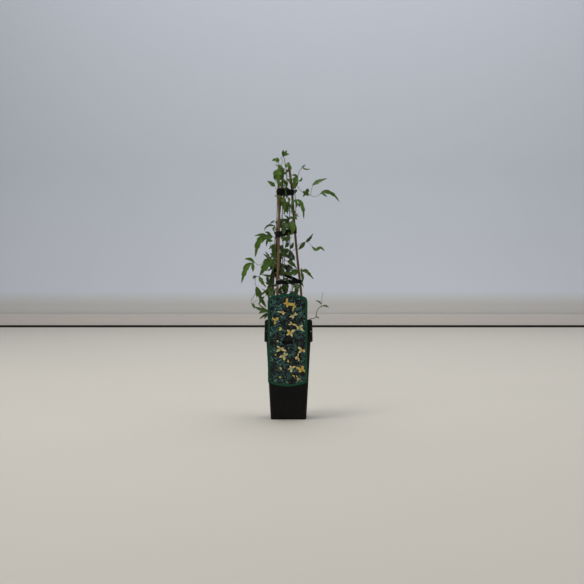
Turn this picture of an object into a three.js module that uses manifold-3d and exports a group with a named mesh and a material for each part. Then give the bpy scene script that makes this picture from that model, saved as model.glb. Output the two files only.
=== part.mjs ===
// A golden clematis in its nursery pot: a square two-litre pot of black plastic full of peat, a
// picture label hung on its front, three bamboo canes held together by three black clips, and the
// leafy stems of the young climber. Millimetres, +Z up, the middle of the pot's base at the
// origin, the label to -Y.
import * as THREE from "three";
import { mergeVertices } from "three/addons/utils/BufferGeometryUtils.js";
import Module from "manifold-3d";

const wasm = await Module();
wasm.setup();

// Driving dimensions
const POT_HEIGHT = 227;
const BASE_WIDTH = 82;
const BODY_WIDTH = 101;
const COLLAR_LOW_WIDTH = 111;
const COLLAR_TOP_WIDTH = 108.8;
const STEP_LOW = 177;
const STEP_HIGH = 180;
const CORNER_SHARE = 0.085;
const WALL = 1.3;
const FLOOR = 2;
const GAP = 0.3;
const FOOT_ARCH = { width: 19, height: 3.5, depth: 9, skin: 1.5 };
const DRAIN_HOLE = { radius: 4.5, reach: 25 };
const COLLAR_SLOT = { x: 52.1, z: 200.8, width: 2.6, height: 2.4, slope: 2.35 };
const SOIL_TOP = 197;
const CANE_FOOT = 30;
const CANE_RADIUS = 2.9;
const CANE_SIDES = 8;
const CANE_STEP = 55;
const LABEL = { x: -2.2, back: -55.9, thickness: 0.8, topWidth: 91.2, lowWidth: 89.2 };
const TAB_HOLE = { radius: 11.4, top: 183.4, middle: 171.9 };
const TAB = { radius: 10, top: 175.2, bridgeWidth: 4, bridgeHeight: 2.2 };
const PEG = { width: 15, height: 6.2, reach: 58.2 };
const CLIP = { sleeve: 4.3, thickness: 1.5 };
const BLADE_THICKNESS = 0.7;
const KEEL = 0.22;
const FOLDED_WIDTH = 14.5;
const STEM_HOLE = 1.6;
const STEM_SIDES = 4;
const VINE_STEP = 12;
const STALK_STEP = 9;

const COLOURS = {
  pot: 0x141414,
  soil: 0x2b211a,
  label: 0x1d3f33,
  tanCane: 0x86704e,
  redCane: 0x5f4029,
  clip: 0x121513,
  leaves: 0x4d6b2c,
};

// Solids from three.js geometry
function solid(geometry) {
  geometry.deleteAttribute("normal");
  geometry.deleteAttribute("uv");
  const merged = mergeVertices(geometry, 1e-3);
  const triVerts = new Uint32Array(merged.index.array);
  const vertProperties = merged.attributes.position.array;
  return new wasm.Manifold(new wasm.Mesh({ numProp: 3, vertProperties, triVerts }));
}

function join(solids) {
  return solids.reduce((whole, piece) => whole.add(piece));
}

function box(width, depth, height, x, y, z) {
  return solid(new THREE.BoxGeometry(width, depth, height).translate(x, y, z));
}

function uprightCylinder(radius, low, high, x, y, sides) {
  const geometry = new THREE.CylinderGeometry(radius, radius, high - low, sides);
  return solid(geometry.rotateX(Math.PI / 2).translate(x, y, (low + high) / 2));
}

function vectors(points) {
  return points.map((p) => new THREE.Vector3(...p));
}

function ringOfPoints(radius, sides) {
  return Array.from({ length: sides }, (_, i) => {
    const angle = (2 * Math.PI * i) / sides;
    return new THREE.Vector2(radius * Math.cos(angle), radius * Math.sin(angle));
  });
}

function tube(radius, points, sides, step) {
  const extrudePath = new THREE.CatmullRomCurve3(vectors(points));
  const steps = Math.max(2, Math.round(extrudePath.getLength() / step));
  const outline = new THREE.Shape(ringOfPoints(radius, sides));
  return solid(new THREE.ExtrudeGeometry(outline, { steps, bevelEnabled: false, extrudePath }));
}

function roundedSquare(width, radius) {
  const h = width / 2;
  const c = h - radius;
  const shape = new THREE.Shape();
  shape.absarc(c, -c, radius, -Math.PI / 2, 0, false);
  shape.absarc(c, c, radius, 0, Math.PI / 2, false);
  shape.absarc(-c, c, radius, Math.PI / 2, Math.PI, false);
  shape.absarc(-c, -c, radius, Math.PI, 1.5 * Math.PI, false);
  shape.closePath();
  return shape;
}

// A block with a rounded square plan whose width goes evenly from its low end to its high end.
function taperedBlock(lowWidth, highWidth, low, high) {
  const outline = roundedSquare(highWidth, CORNER_SHARE * highWidth);
  const depth = high - low;
  const geometry = new THREE.ExtrudeGeometry(outline, {
    depth,
    bevelEnabled: false,
    curveSegments: 3,
  });
  const position = geometry.attributes.position;
  for (let i = 0; i < position.count; i++) {
    const z = position.getZ(i);
    const scale = THREE.MathUtils.lerp(lowWidth, highWidth, z / depth) / highWidth;
    position.setXYZ(i, position.getX(i) * scale, position.getY(i) * scale, z + low);
  }
  return solid(geometry);
}

// Pot
function bodyWidth(z) {
  return THREE.MathUtils.lerp(BASE_WIDTH, BODY_WIDTH, z / STEP_LOW);
}

function collarWidth(z) {
  const share = (z - STEP_HIGH) / (POT_HEIGHT - STEP_HIGH);
  return THREE.MathUtils.lerp(COLLAR_LOW_WIDTH, COLLAR_TOP_WIDTH, share);
}

// The pot's form moved inwards by a given distance: the outside, the cavity and the soil in it.
function potForm(inset, bottom, top) {
  const low = STEP_LOW + inset;
  const high = STEP_HIGH + inset;
  const taper = 2 * inset;
  return join([
    taperedBlock(bodyWidth(bottom) - taper, BODY_WIDTH - taper, bottom, low),
    taperedBlock(BODY_WIDTH - taper, COLLAR_LOW_WIDTH - taper, low, high),
    taperedBlock(COLLAR_LOW_WIDTH - taper, collarWidth(top) - taper, high, top),
  ]);
}

// The low arch in the middle of each side, or the raised floor over it, at all four sides.
function footArches(grow, base) {
  const width = FOOT_ARCH.width + 2 * grow;
  const depth = FOOT_ARCH.depth + grow;
  const height = FOOT_ARCH.height + grow - base;
  const arch = box(width, depth, height, 0, depth / 2 - BASE_WIDTH / 2, base + height / 2);
  return join([0, 90, 180, 270].map((turn) => arch.rotate([0, 0, turn])));
}

function makePot() {
  const overshoot = 1;
  const outside = potForm(0, 0, POT_HEIGHT);
  const cavity = potForm(WALL, FLOOR, POT_HEIGHT + overshoot);
  const raisedFloor = footArches(FOOT_ARCH.skin, 0).intersect(outside);
  const pegTop = TAB_HOLE.top - GAP;
  const pegRoot = BODY_WIDTH / 2 - WALL / 2;
  const peg = box(
    PEG.width,
    PEG.reach - pegRoot,
    PEG.height,
    LABEL.x,
    -(PEG.reach + pegRoot) / 2,
    pegTop - PEG.height / 2,
  );
  const shell = outside.add(peg).subtract(cavity).add(raisedFloor);
  const arches = footArches(0, -overshoot);
  const { width, height, slope } = COLLAR_SLOT;
  const slots = [-1, 1].map((side) =>
    box(width, 2 * POT_HEIGHT, height, 0, 0, 0)
      .rotate([-slope, 0, 0])
      .translate([side * COLLAR_SLOT.x, 0, COLLAR_SLOT.z]),
  );
  const drains = [45, 135, 225, 315].map((turn) =>
    uprightCylinder(DRAIN_HOLE.radius, -overshoot, FLOOR + overshoot, DRAIN_HOLE.reach, 0, 12)
      .rotate([0, 0, turn]),
  );
  return shell.subtract(join([arches, ...slots, ...drains]));
}

// Peat, with a plain hole for each cane and stem that stands in it.
function makeSoil(planted) {
  const inset = WALL + GAP;
  const filling = potForm(inset, FLOOR + GAP, SOIL_TOP);
  const overArches = footArches(FOOT_ARCH.skin + GAP, 0);
  return filling.subtract(join([overArches, ...planted]));
}

// Picture label: a thin card with an arched head and foot, hung on the pot's peg by a D-shaped
// hole. The lower part of the hole still holds its punched tab, joined by a bridge on each side.
function upright(shape, thickness, back) {
  const geometry = new THREE.ExtrudeGeometry(shape, {
    depth: thickness,
    bevelEnabled: false,
    curveSegments: 8,
  });
  return geometry.rotateX(Math.PI / 2).translate(LABEL.x, back, 0);
}

function labelOutline() {
  const top = LABEL.topWidth / 2;
  const low = LABEL.lowWidth / 2;
  const shape = new THREE.Shape();
  shape.moveTo(-low, 87);
  shape.quadraticCurveTo(0, 68.5, low, 87);
  shape.lineTo(top, 269);
  shape.quadraticCurveTo(top, 280.5, top - 9, 282.8);
  shape.quadraticCurveTo(0, 294.7, 9 - top, 282.8);
  shape.quadraticCurveTo(-top, 280.5, -top, 269);
  shape.closePath();
  return shape;
}

// A shape with a straight top and sides and a half-round foot.
function roundFooted(radius, top, middle) {
  const shape = new THREE.Shape();
  shape.moveTo(-radius, top);
  shape.lineTo(-radius, middle);
  shape.absarc(0, middle, radius, Math.PI, 2 * Math.PI, false);
  shape.lineTo(radius, top);
  shape.closePath();
  return shape;
}

function makeLabel() {
  const { radius, top, middle } = TAB_HOLE;
  const card = solid(upright(labelOutline(), LABEL.thickness, LABEL.back));
  const depth = 3 * LABEL.thickness;
  const hole = upright(roundFooted(radius, top, middle), depth, LABEL.back + LABEL.thickness);
  const tab = upright(roundFooted(TAB.radius, TAB.top, middle), LABEL.thickness, LABEL.back);
  const centre = LABEL.back - LABEL.thickness / 2;
  const reach = (radius + TAB.radius) / 2;
  const bridges = [-1, 1].map((side) =>
    box(
      TAB.bridgeWidth,
      LABEL.thickness,
      TAB.bridgeHeight,
      LABEL.x + side * reach,
      centre,
      middle,
    ),
  );
  return join([card.subtract(solid(hole)), solid(tab), ...bridges]);
}

// Canes: bamboo, pushed to near the pot's floor and drawn together towards the top.
const CANE_ROUTES = {
  cane_front_left: [
    [-28, -26, CANE_FOOT],
    [-27.3, -24, 197],
    [-26, -20, 295],
    [-25.2, -18.5, 330],
    [-23.5, -17, 360],
    [-23, -15.5, 400],
    [-22, -12.5, 470],
    [-23.4, -9.5, 522],
    [-22, -7, 590],
  ],
  cane_back_left: [
    [-36, 24, CANE_FOOT],
    [-40.5, 24, 197],
    [-37.5, 21.5, 300],
    [-33, 18, 360],
    [-28, 14.5, 410],
    [-22.6, 11, 470],
    [-16, 8.5, 540],
    [-12, 6.5, 583],
  ],
  cane_right: [
    [35, 12, CANE_FOOT],
    [32, 10, 197],
    [29.5, 8.5, 290],
    [23, 6.5, 350],
    [17.5, 5, 405],
    [13, 4, 460],
    [9.3, 2.8, 510],
    [6, 1.5, 550],
    [-0.5, -0.5, 596],
  ],
};

function makeCane(route) {
  return tube(CANE_RADIUS, route, CANE_SIDES, CANE_STEP);
}

// The space that each cane takes in the peat and in the clips, with a gap round it and below it.
function caneBores() {
  return Object.values(CANE_ROUTES).map(([[x, y, z], ...rest]) =>
    tube(CANE_RADIUS + GAP, [[x, y, z - GAP], ...rest], CANE_SIDES, CANE_STEP),
  );
}

// Clips: a flat strap round the three canes with a sleeve on each, and a pointed pull tab.
const CLIPS = {
  clip_top: {
    height: 14,
    corners: [[-23.4, -9.4, 526], [-17.2, 9, 526], [8.3, 2.4, 526]],
    tab: { at: 2, outline: [[0, -3], [7, -3.4], [13, 5.5], [7, 6.4], [0, 4]] },
  },
  clip_middle: {
    height: 14,
    corners: [[-22.6, -14.3, 427], [-26.7, 13.6, 428], [15.1, 4.5, 437]],
    tab: { at: 1, outline: [[0, -6], [-5.5, -2], [-8, 7], [-3, 7], [0, 4]] },
  },
  clip_low: {
    height: 8.5,
    corners: [[-25.6, -19.3, 315], [-34.3, 18.9, 345], [26.7, 7.6, 317]],
    tab: { at: 2, outline: [[0, -4], [4, -7], [9, -14], [7, -5], [0, 2]] },
  },
};

// An upright strap from one corner to the next, which climbs where the corners differ in height.
function strap(from, to, height) {
  const [start, end] = vectors([from, to]);
  const along = end.clone().sub(start);
  const aside = new THREE.Vector3(-along.y, along.x, 0).normalize();
  const geometry = new THREE.BoxGeometry(1, CLIP.thickness, height);
  const position = geometry.attributes.position;
  for (let i = 0; i < position.count; i++) {
    const place = start.clone().addScaledVector(along, position.getX(i) + 0.5);
    place.addScaledVector(aside, position.getY(i));
    position.setXYZ(i, place.x, place.y, place.z + position.getZ(i));
  }
  return solid(geometry);
}

function pullTab(corner, outline) {
  const shape = new THREE.Shape(outline.map((p) => new THREE.Vector2(...p)));
  const geometry = new THREE.ExtrudeGeometry(shape, {
    depth: CLIP.thickness,
    bevelEnabled: false,
  });
  const [x, y, z] = corner;
  return solid(geometry.rotateX(Math.PI / 2).translate(x, y + CLIP.thickness / 2, z));
}

function makeClip({ height, corners, tab }) {
  const sleeves = corners.map(([x, y, z]) =>
    uprightCylinder(CLIP.sleeve, z - height / 2, z + height / 2, x, y, 10),
  );
  const straps = corners.map((corner, i) => strap(corner, corners[(i + 1) % 3], height));
  const pull = pullTab(corners[tab.at], tab.outline);
  return join([...sleeves, ...straps, pull]).subtract(join(caneBores()));
}

// Leaflets. Half an outline is a few rows: the place along the midrib, the place of the edge
// point that belongs to it, and the edge's distance from the midrib as a share of half the width.
const OUTLINES = {
  slim: [
    [0, 0, 0.25],
    [0.4, 0.4, 1],
    [1, 1, 0.1],
  ],
  plain: [
    [0, 0, 0.12],
    [0.2, 0.24, 0.8],
    [0.48, 0.5, 1],
    [0.76, 0.76, 0.6],
    [1, 1, 0.04],
  ],
  toothed: [
    [0, 0, 0.1],
    [0.14, 0.2, 0.76],
    [0.3, 0.4, 1],
    [0.42, 0.44, 0.7],
    [0.56, 0.66, 0.76],
    [0.7, 0.7, 0.42],
    [1, 1, 0.04],
  ],
  lobed: [
    [0, 0, 0.1],
    [0.1, 0.12, 0.62],
    [0.24, 0.44, 1],
    [0.4, 0.4, 0.44],
    [0.62, 0.64, 0.5],
    [1, 1, 0.04],
  ],
};
const FRONT = [0, -1, 0.25];

// The right half of a leaf of three leaflets cut to the rib, from its stalk to its tip, in shares
// of its length: how far forward, and how far aside.
const THREE_LEAFLETS = [
  [-0.02, 0.025],
  [0.08, 0.3],
  [0.18, 0.4],
  [0.2, 0.52],
  [0.36, 0.7],
  [0.33, 0.42],
  [0.16, 0.06],
  [0.3, 0.1],
  [0.47, 0.21],
  [0.53, 0.12],
  [0.7, 0.13],
  [0.76, 0.06],
];

// A closed blade: a grid placed on two faces with the same triangles on both, and a rim between.
function blade(columns, rows, place) {
  const grid = new THREE.PlaneGeometry(1, 1, columns, rows);
  const across = columns + 1;
  const count = across * (rows + 1);
  const upper = Array.from(grid.index.array);
  const index = [];
  for (let i = 0; i < upper.length; i += 3) {
    const [a, b, c] = upper.slice(i, i + 3);
    index.push(a, b, c, a + count, c + count, b + count);
  }
  const edge = [];
  for (let row = 0; row < rows; row++) edge.push(row * across);
  for (let column = 0; column < columns; column++) edge.push(rows * across + column);
  for (let row = rows; row > 0; row--) edge.push(row * across + columns);
  for (let column = columns; column > 0; column--) edge.push(column);
  edge.forEach((p, i) => {
    const q = edge[(i + 1) % edge.length];
    index.push(q, p, p + count, q, p + count, q + count);
  });
  const points = [];
  for (const face of [1, -1])
    for (let row = 0; row <= rows; row++)
      for (let column = 0; column <= columns; column++)
        points.push(...place(row, column, face).toArray());
  const geometry = new THREE.BufferGeometry();
  geometry.setAttribute("position", new THREE.Float32BufferAttribute(points, 3));
  geometry.setIndex(index);
  return solid(geometry);
}

// One leaflet from its base to its tip, with its upper side turned towards facing. Its base is
// sunk into the stalk, its midrib arches a little, and a wide one folds up along its midrib.
function leaf(outline, points, width, facing = FRONT) {
  const rows = OUTLINES[outline];
  const route = vectors(points);
  const towards = new THREE.Vector3(...facing).normalize();
  const chord = route.at(-1).clone().sub(route[0]);
  if (route.length === 2) {
    const middle = route[0].clone().addScaledVector(chord, 0.5);
    route.splice(1, 0, middle.addScaledVector(towards, 0.06 * chord.length()));
  }
  const inward = route[1].clone().sub(route[0]).normalize();
  route[0].addScaledVector(inward, -0.8);
  const midrib = new THREE.CatmullRomCurve3(route);
  const columns = width < FOLDED_WIDTH ? 1 : 2;
  const keel = columns === 1 ? 0 : KEEL;
  return blade(columns, rows.length - 1, (row, column, face) => {
    const [middlePlace, edgePlace, share] = rows[row];
    const side = (2 * column) / columns - 1;
    const t = side === 0 ? middlePlace : edgePlace;
    const along = midrib.getTangentAt(t);
    const across = towards.clone().cross(along).normalize();
    const normal = along.clone().cross(across);
    const reach = side * Math.max(0.35, (share * width) / 2);
    const point = midrib.getPointAt(t).addScaledVector(across, reach);
    point.addScaledVector(normal, Math.abs(reach) * keel);
    return point.addScaledVector(normal, (face * BLADE_THICKNESS) / 2);
  });
}

function vine(points) {
  return tube(1.1, points, STEM_SIDES, VINE_STEP);
}

function stalk(radius, points) {
  return tube(radius, points, STEM_SIDES, STALK_STEP);
}

// A leaf of three leaflets on its stalk, which leaves the root point on a bearing in degrees. The
// blade is one thin outline that hangs at an angle from the level and sinks towards its tips.
function sprig(root, bearing, reach, size, hang) {
  const half = THREE_LEAFLETS.map(([ahead, aside]) => new THREE.Vector2(ahead, aside));
  const mirrored = half.map((p) => new THREE.Vector2(p.x, -p.y)).reverse();
  const outline = new THREE.Shape([...mirrored, ...half, new THREE.Vector2(1, 0)]);
  const geometry = new THREE.ExtrudeGeometry(outline, {
    depth: BLADE_THICKNESS / size,
    bevelEnabled: false,
  });
  const position = geometry.attributes.position;
  for (let i = 0; i < position.count; i++) {
    const [ahead, aside] = [position.getX(i), position.getY(i)];
    const sink = 0.32 * (ahead ** 2 + aside ** 2);
    position.setZ(i, position.getZ(i) - sink - BLADE_THICKNESS / size / 2);
  }
  const turn = THREE.MathUtils.degToRad(bearing);
  const rise = 0.3 * reach;
  geometry.scale(size, size, size).rotateY(THREE.MathUtils.degToRad(hang));
  geometry.translate(reach, 0, rise).rotateZ(turn).translate(...root);
  const at = (out, up) => [
    root[0] + out * Math.cos(turn),
    root[1] + out * Math.sin(turn),
    root[2] + up,
  ];
  const route = [root, at(0.5 * reach, 0.24 * reach), at(reach + 0.6, rise)];
  return [stalk(0.6, route), solid(geometry)];
}

// The stem that climbs on the left of the canes, with the sprays that hang out to the left.
const VINE_LEFT = [
  [-16, -6, 182],
  [-17, -7, 240],
  [-19, -8, 280],
  [-20, -6, 315],
  [-26, -3, 350],
  [-31, -3, 375],
  [-33, -3, 400],
  [-30, -2, 427],
  [-28, -1, 455],
  [-27, 0, 480],
  [-26.5, 0, 505],
  [-26, 1, 526],
  [-24, 2, 548],
  [-23, 2, 556],
];

function leftVineParts() {
  return [
    vine(VINE_LEFT),
    // Crown of leaves round the top of the front cane
    stalk(0.9, [
      [-24, 2, 551],
      [-28.5, -5, 558],
      [-27, -11.5, 568],
      [-22.5, -13, 579],
      [-23.5, -12.5, 588],
      [-23.5, -12, 597],
    ]),
    leaf("lobed", [[-22, -12, 597.5], [-30, -12.5, 600.5], [-39, -14, 598.5]], 13),
    leaf("slim", [[-23.3, -12.5, 584], [-31, -14, 590]], 2.6),
    leaf("lobed", [[-22.6, -13, 579], [-25, -15, 562], [-23, -13.5, 543]], 18),
    leaf("plain", [[-25.5, -12.3, 573], [-30, -15, 570], [-34, -14, 562]], 11),
    leaf("plain", [[-22.6, -13, 579.5], [-17, -14.5, 577.5], [-12, -13.5, 570]], 9),
    stalk(0.6, [[-28.3, -5, 557.5], [-28, -10, 552], [-24.5, -13.5, 549.5]]),
    leaf("plain", [[-24.5, -13.5, 550], [-20, -15, 544], [-15, -13.5, 537]], 9),
    stalk(0.5, [[-24.2, 2, 547], [-28, 2, 547.5], [-31, 1, 556]]),
    leaf("slim", [[-31, 1, 556], [-36, 0, 563]], 4),
    stalk(0.6, [[-26.4, 0.4, 514], [-27.8, 0, 522], [-29, -1, 530], [-32, -2, 540.5]]),
    leaf("toothed", [[-32, -2, 540.5], [-50, -6, 552]], 11),
    leaf("slim", [[-26.3, 0.2, 518], [-33.5, -3, 516.5]], 3.2),
    // Small leaves above the middle clip
    stalk(0.6, [[-28, -1, 453], [-30.5, -2, 457], [-33, -2, 459.5]]),
    leaf("slim", [[-33, -2, 459.5], [-44, -5, 452]], 4.2),
    stalk(0.6, [[-29.2, -1.6, 438], [-31.5, -4, 443], [-31.5, -4.5, 447.5]]),
    leaf("plain", [[-31.5, -4.5, 447.5], [-45, -9, 448.5], [-54, -11, 442], [-56, -11, 436]], 5),
    leaf("slim", [[-31.5, -4.5, 446], [-35.5, -6, 440], [-33, -6, 433.5]], 5),
    // Large leaf of three lobes
    stalk(0.8, [[-31, -2.3, 418], [-34, -6, 421.5], [-39, -9, 422.5]]),
    leaf("lobed", [[-38, -8.5, 422], [-50, -12, 421.5], [-63, -15, 420]], 18),
    leaf("toothed", [[-46, -11, 421], [-60, -15, 418], [-70, -17, 407], [-77.5, -16, 375]], 16),
    leaf("plain", [[-49, -11.5, 424], [-62, -15, 426.5], [-79, -18, 423]], 6.5),
    leaf("plain", [[-51, -12, 420], [-44.5, -13, 413], [-36.5, -12.5, 411]], 10),
    stalk(0.5, [[-44.5, -10.9, 421.5], [-43, -11.5, 409], [-42, -11, 402], [-44, -11, 397]]),
    // Dark leaf behind the front cane
    leaf("lobed", [[-30.5, -3.3, 373], [-34, -6, 388], [-36, -7, 403]], 20),
    // Cluster on the left, and the spray that reaches furthest out
    stalk(0.8, [[-29.5, -3, 369], [-37, -6, 373], [-44, -8, 373.5]]),
    leaf("toothed", [[-41.5, -7.5, 374], [-52, -10, 356], [-67, -13, 331]], 21),
    leaf("slim", [[-43.5, -8, 374.2], [-55, -10, 387.5]], 4),
    leaf("slim", [[-45, -8.5, 371], [-58.5, -11, 382]], 5),
    leaf("slim", [[-46, -8.5, 369], [-58, -11, 368]], 4.5),
    stalk(0.65, [
      [-44, -8, 373],
      [-50, -12, 366],
      [-57, -15, 361],
      [-64, -18, 357.5],
      [-71, -20, 355],
      [-76, -21, 359.5],
      [-86, -23, 360.5],
    ]),
    leaf("plain", [[-79, -21.5, 361], [-88, -23, 368.5], [-101.5, -25, 369.5]], 7.5),
    leaf("toothed", [[-85, -22.8, 360.5], [-96, -26, 352], [-103, -28, 334], [-109, -27, 314]], 14),
    leaf("plain", [[-83, -22.5, 360.5], [-82.5, -24, 350], [-82, -23, 339.5]], 7.5),
    // Narrow leaf over the low clip
    stalk(0.7, [[-24, -4, 338], [-31, -5, 338], [-38, -6, 329]]),
    leaf("slim", [[-37, -6, 328.5], [-49, -9, 331], [-62, -12, 333.5]], 5.5),
    // Long hanging stalk with the pale leaf
    stalk(0.6, [[-44, -8, 372], [-56, -8, 350], [-66, -9, 334], [-69, -10, 328.5]]),
    stalk(0.6, [
      [-68.6, -9.9, 329],
      [-75, -11, 329],
      [-78, -11, 321],
      [-77.5, -11, 313],
      [-75, -11, 304],
    ]),
    stalk(0.6, [[-75, -11, 305], [-76, -9, 292], [-83, -9, 280], [-87, -9, 272], [-83, -9, 258]]),
    leaf("toothed", [[-68.5, -10, 328.5], [-62, -13, 317], [-53, -14, 304]], 10),
    leaf("plain", [[-74.5, -10.9, 328.8], [-80, -12, 328], [-81.5, -12, 322.5]], 6),
    leaf("lobed", [[-75, -11, 305], [-67, -14, 283], [-52, -15, 257]], 15),
    leaf("plain", [[-85.7, -9, 266], [-82, -11, 262], [-80, -11, 254.5]], 6),
    stalk(0.45, [[-85, -9.3, 264], [-80, -10, 269], [-76, -10, 272.5], [-69, -11, 274]]),
    // Dense leaves low on the left
    stalk(0.8, [[-19, -8, 284], [-30, -10, 292], [-42, -12, 305], [-45, -12, 317]]),
    leaf("lobed", [[-43.5, -12, 309], [-48, -14, 320], [-50, -13, 331]], 14),
    leaf("lobed", [[-41, -12, 304], [-38.5, -14, 316], [-38, -13, 328]], 12),
    leaf("toothed", [[-40.5, -12, 303], [-48, -14.5, 297], [-53, -14, 287]], 11),
    leaf("lobed", [[-36, -11, 298], [-38, -23, 292], [-36, -32, 276]], 14),
    leaf("slim", [[-46, -14, 299.5], [-53, -15.5, 296], [-62, -16, 300.5]], 3.2),
    stalk(0.5, [[-35, -11, 297], [-44, -14, 287], [-50, -15, 285], [-57, -16, 282]]),
  ];
}

// The stem that climbs on the right and ends in the thin shoot at the top right.
const VINE_RIGHT = [
  [10, 2, 182],
  [9, 3, 250],
  [8, 4, 315],
  [7, 3, 350],
  [4, 1, 385],
  [3, 3, 428],
  [6, 2, 450],
  [10, -3, 463],
  [15.5, -2, 475],
  [17, 1, 490],
  [16, 0, 510],
  [14.5, -3.5, 524],
  [17, -3, 540],
  [20, -2, 552],
  [21, -1, 565],
];

function rightVineParts() {
  return [
    vine(VINE_RIGHT),
    // Thin shoot and its small leaves
    stalk(0.7, [[21, -1, 563], [24, 0, 572], [26, 1, 578], [32, 2, 584]]),
    leaf("slim", [[31.5, 2, 584], [39.5, 0, 591]], 3.8),
    leaf("slim", [[31.5, 2, 583.8], [42, 0, 580], [51, -1, 580.5]], 3.8),
    stalk(0.5, [[19.8, -2, 551], [24, -3, 552]]),
    leaf("slim", [[24, -3, 552], [29, -4, 554], [31.5, -4, 561.5]], 5),
    // Leaf beside the top of the right cane
    leaf("lobed", [[20.5, -1.8, 563], [14, -5.5, 550], [12, -5.5, 531]], 15),
    leaf("slim", [[20.5, -1.5, 564.5], [14, -4.5, 566], [7, -4.5, 565.5]], 5),
    leaf("slim", [[17.3, -3, 541.5], [20, -4.5, 547], [20.5, -4, 553]], 5),
    // Upper right spray
    stalk(0.65, [
      [17, -3, 540.5],
      [20, -2.5, 540.5],
      [25, 0, 534],
      [30, 3, 529],
      [36, 5, 524],
      [42, 8, 519.5],
      [51, 10, 521],
      [53, 11, 530],
      [57, 12, 545],
    ]),
    leaf("lobed", [[38.5, 6, 521], [46.5, 5, 535.5]], 17),
    leaf("slim", [[38, 6, 522.5], [34, 6, 516]], 4.5),
    leaf("toothed", [[56.5, 12, 544], [70, 14, 553], [90, 17, 560.5]], 11),
    stalk(0.55, [[50, 9.8, 520.8], [57, 11, 518], [65, 13, 518], [75, 15, 524]]),
    leaf("toothed", [[74, 15, 523.5], [86, 17, 529.5], [105, 21, 523.5], [120, 23, 507]], 10),
    leaf("slim", [[79, 16, 525.5], [91, 15, 517]], 4.6),
    // Drooping leaf under the top clip
    leaf("toothed", [[16.2, 0, 508.5], [26, -4, 504.5], [34, -8, 485], [35.5, -9, 464]], 10),
    leaf("slim", [[16.3, -0.3, 508], [18.5, -3, 500], [19, -4, 490]], 5.5),
    // Cluster where the stem passes the right cane
    leaf("slim", [[14.5, -2.3, 472.5], [22.5, -4, 476]], 3.4),
    leaf("slim", [[14, -2.5, 471], [25, -5, 470]], 3.4),
    leaf("plain", [[12, -2.8, 467.5], [16, -6, 466], [20, -7, 461.5]], 6),
    leaf("plain", [[10, -3, 463.5], [6, -7, 467], [1, -8, 461]], 7),
    // Bright leaf in front of the middle clip
    stalk(0.7, [[6, 2, 449.5], [6, -8, 456], [7.5, -17, 458]]),
    leaf("toothed", [[7.5, -16.5, 458], [9.5, -23, 442], [8, -24, 424]], 16),
    leaf("slim", [[7.8, -17.5, 456], [13, -20, 451], [18.5, -21, 443]], 5),
    stalk(0.45, [[3.2, 2.6, 418], [6, -1, 422.5], [8, -2.5, 417]]),
    // Middle right spray, which passes behind the cane
    stalk(0.65, [
      [4, 1, 384],
      [8, 5, 388],
      [12, 9.5, 391.5],
      [17, 12, 397],
      [22, 10, 402],
      [28, 5, 407],
      [36, 0, 409],
      [41, -2, 410],
    ]),
    leaf("toothed", [[40, -2, 410], [48, -5, 416], [57, -8, 429]], 8),
    leaf("plain", [[38.5, -1, 409.5], [31, -4, 400], [22.5, -6, 391.5]], 9),
    stalk(0.5, [[40, -2, 409.8], [47, -5, 407.5], [50, -7, 404], [54.5, -9, 399]]),
    leaf("plain", [[54.5, -9, 399], [63, -12, 391.5], [74, -15.5, 396], [84.5, -19, 388]], 7.5),
    // Leaves over the low clip
    stalk(0.7, [[7.2, 3, 343], [13, -2, 347], [22, -4, 343.5], [29, -4, 342.5]]),
    leaf("lobed", [[24, -4, 343], [12, -8, 338], [0, -10, 335], [-12, -10, 341]], 15),
    leaf("toothed", [[28.5, -4, 342.5], [40, -7, 342], [48, -9, 335], [58, -11, 323]], 9),
    leaf("plain", [[28.5, -4, 342.5], [32.5, -6, 330], [32, -5, 313]], 7),
    leaf("slim", [[28.5, -4, 342.5], [30.5, -5, 349]], 3.4),
    // Leaf behind the label's head
    stalk(0.65, [[8.3, 3.7, 298], [14, -7, 307], [19, -19, 311]]),
    leaf("lobed", [[19, -18.5, 311.5], [19, -26, 301], [16.5, -28, 285.5]], 19),
  ];
}

// The stem that climbs between the canes and ends at the top of the plant.
const VINE_CENTRE = [
  [-3, -7, 182],
  [-6, -7, 250],
  [-10, -4, 305],
  [-10, -4, 372],
  [-8, -3, 395],
  [-5, -1, 415],
  [-3.5, 1, 432],
  [0, 1, 455],
  [2, 0, 467],
  [2, -1, 500],
  [-1, 0, 515],
  [-5, 2, 527],
  [-4, 2, 545],
  [-4.5, 2, 565],
  [-6, 2, 580],
  [-8, 1, 592],
  [-10, 1, 605],
  [-13, 0, 612],
];

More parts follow.
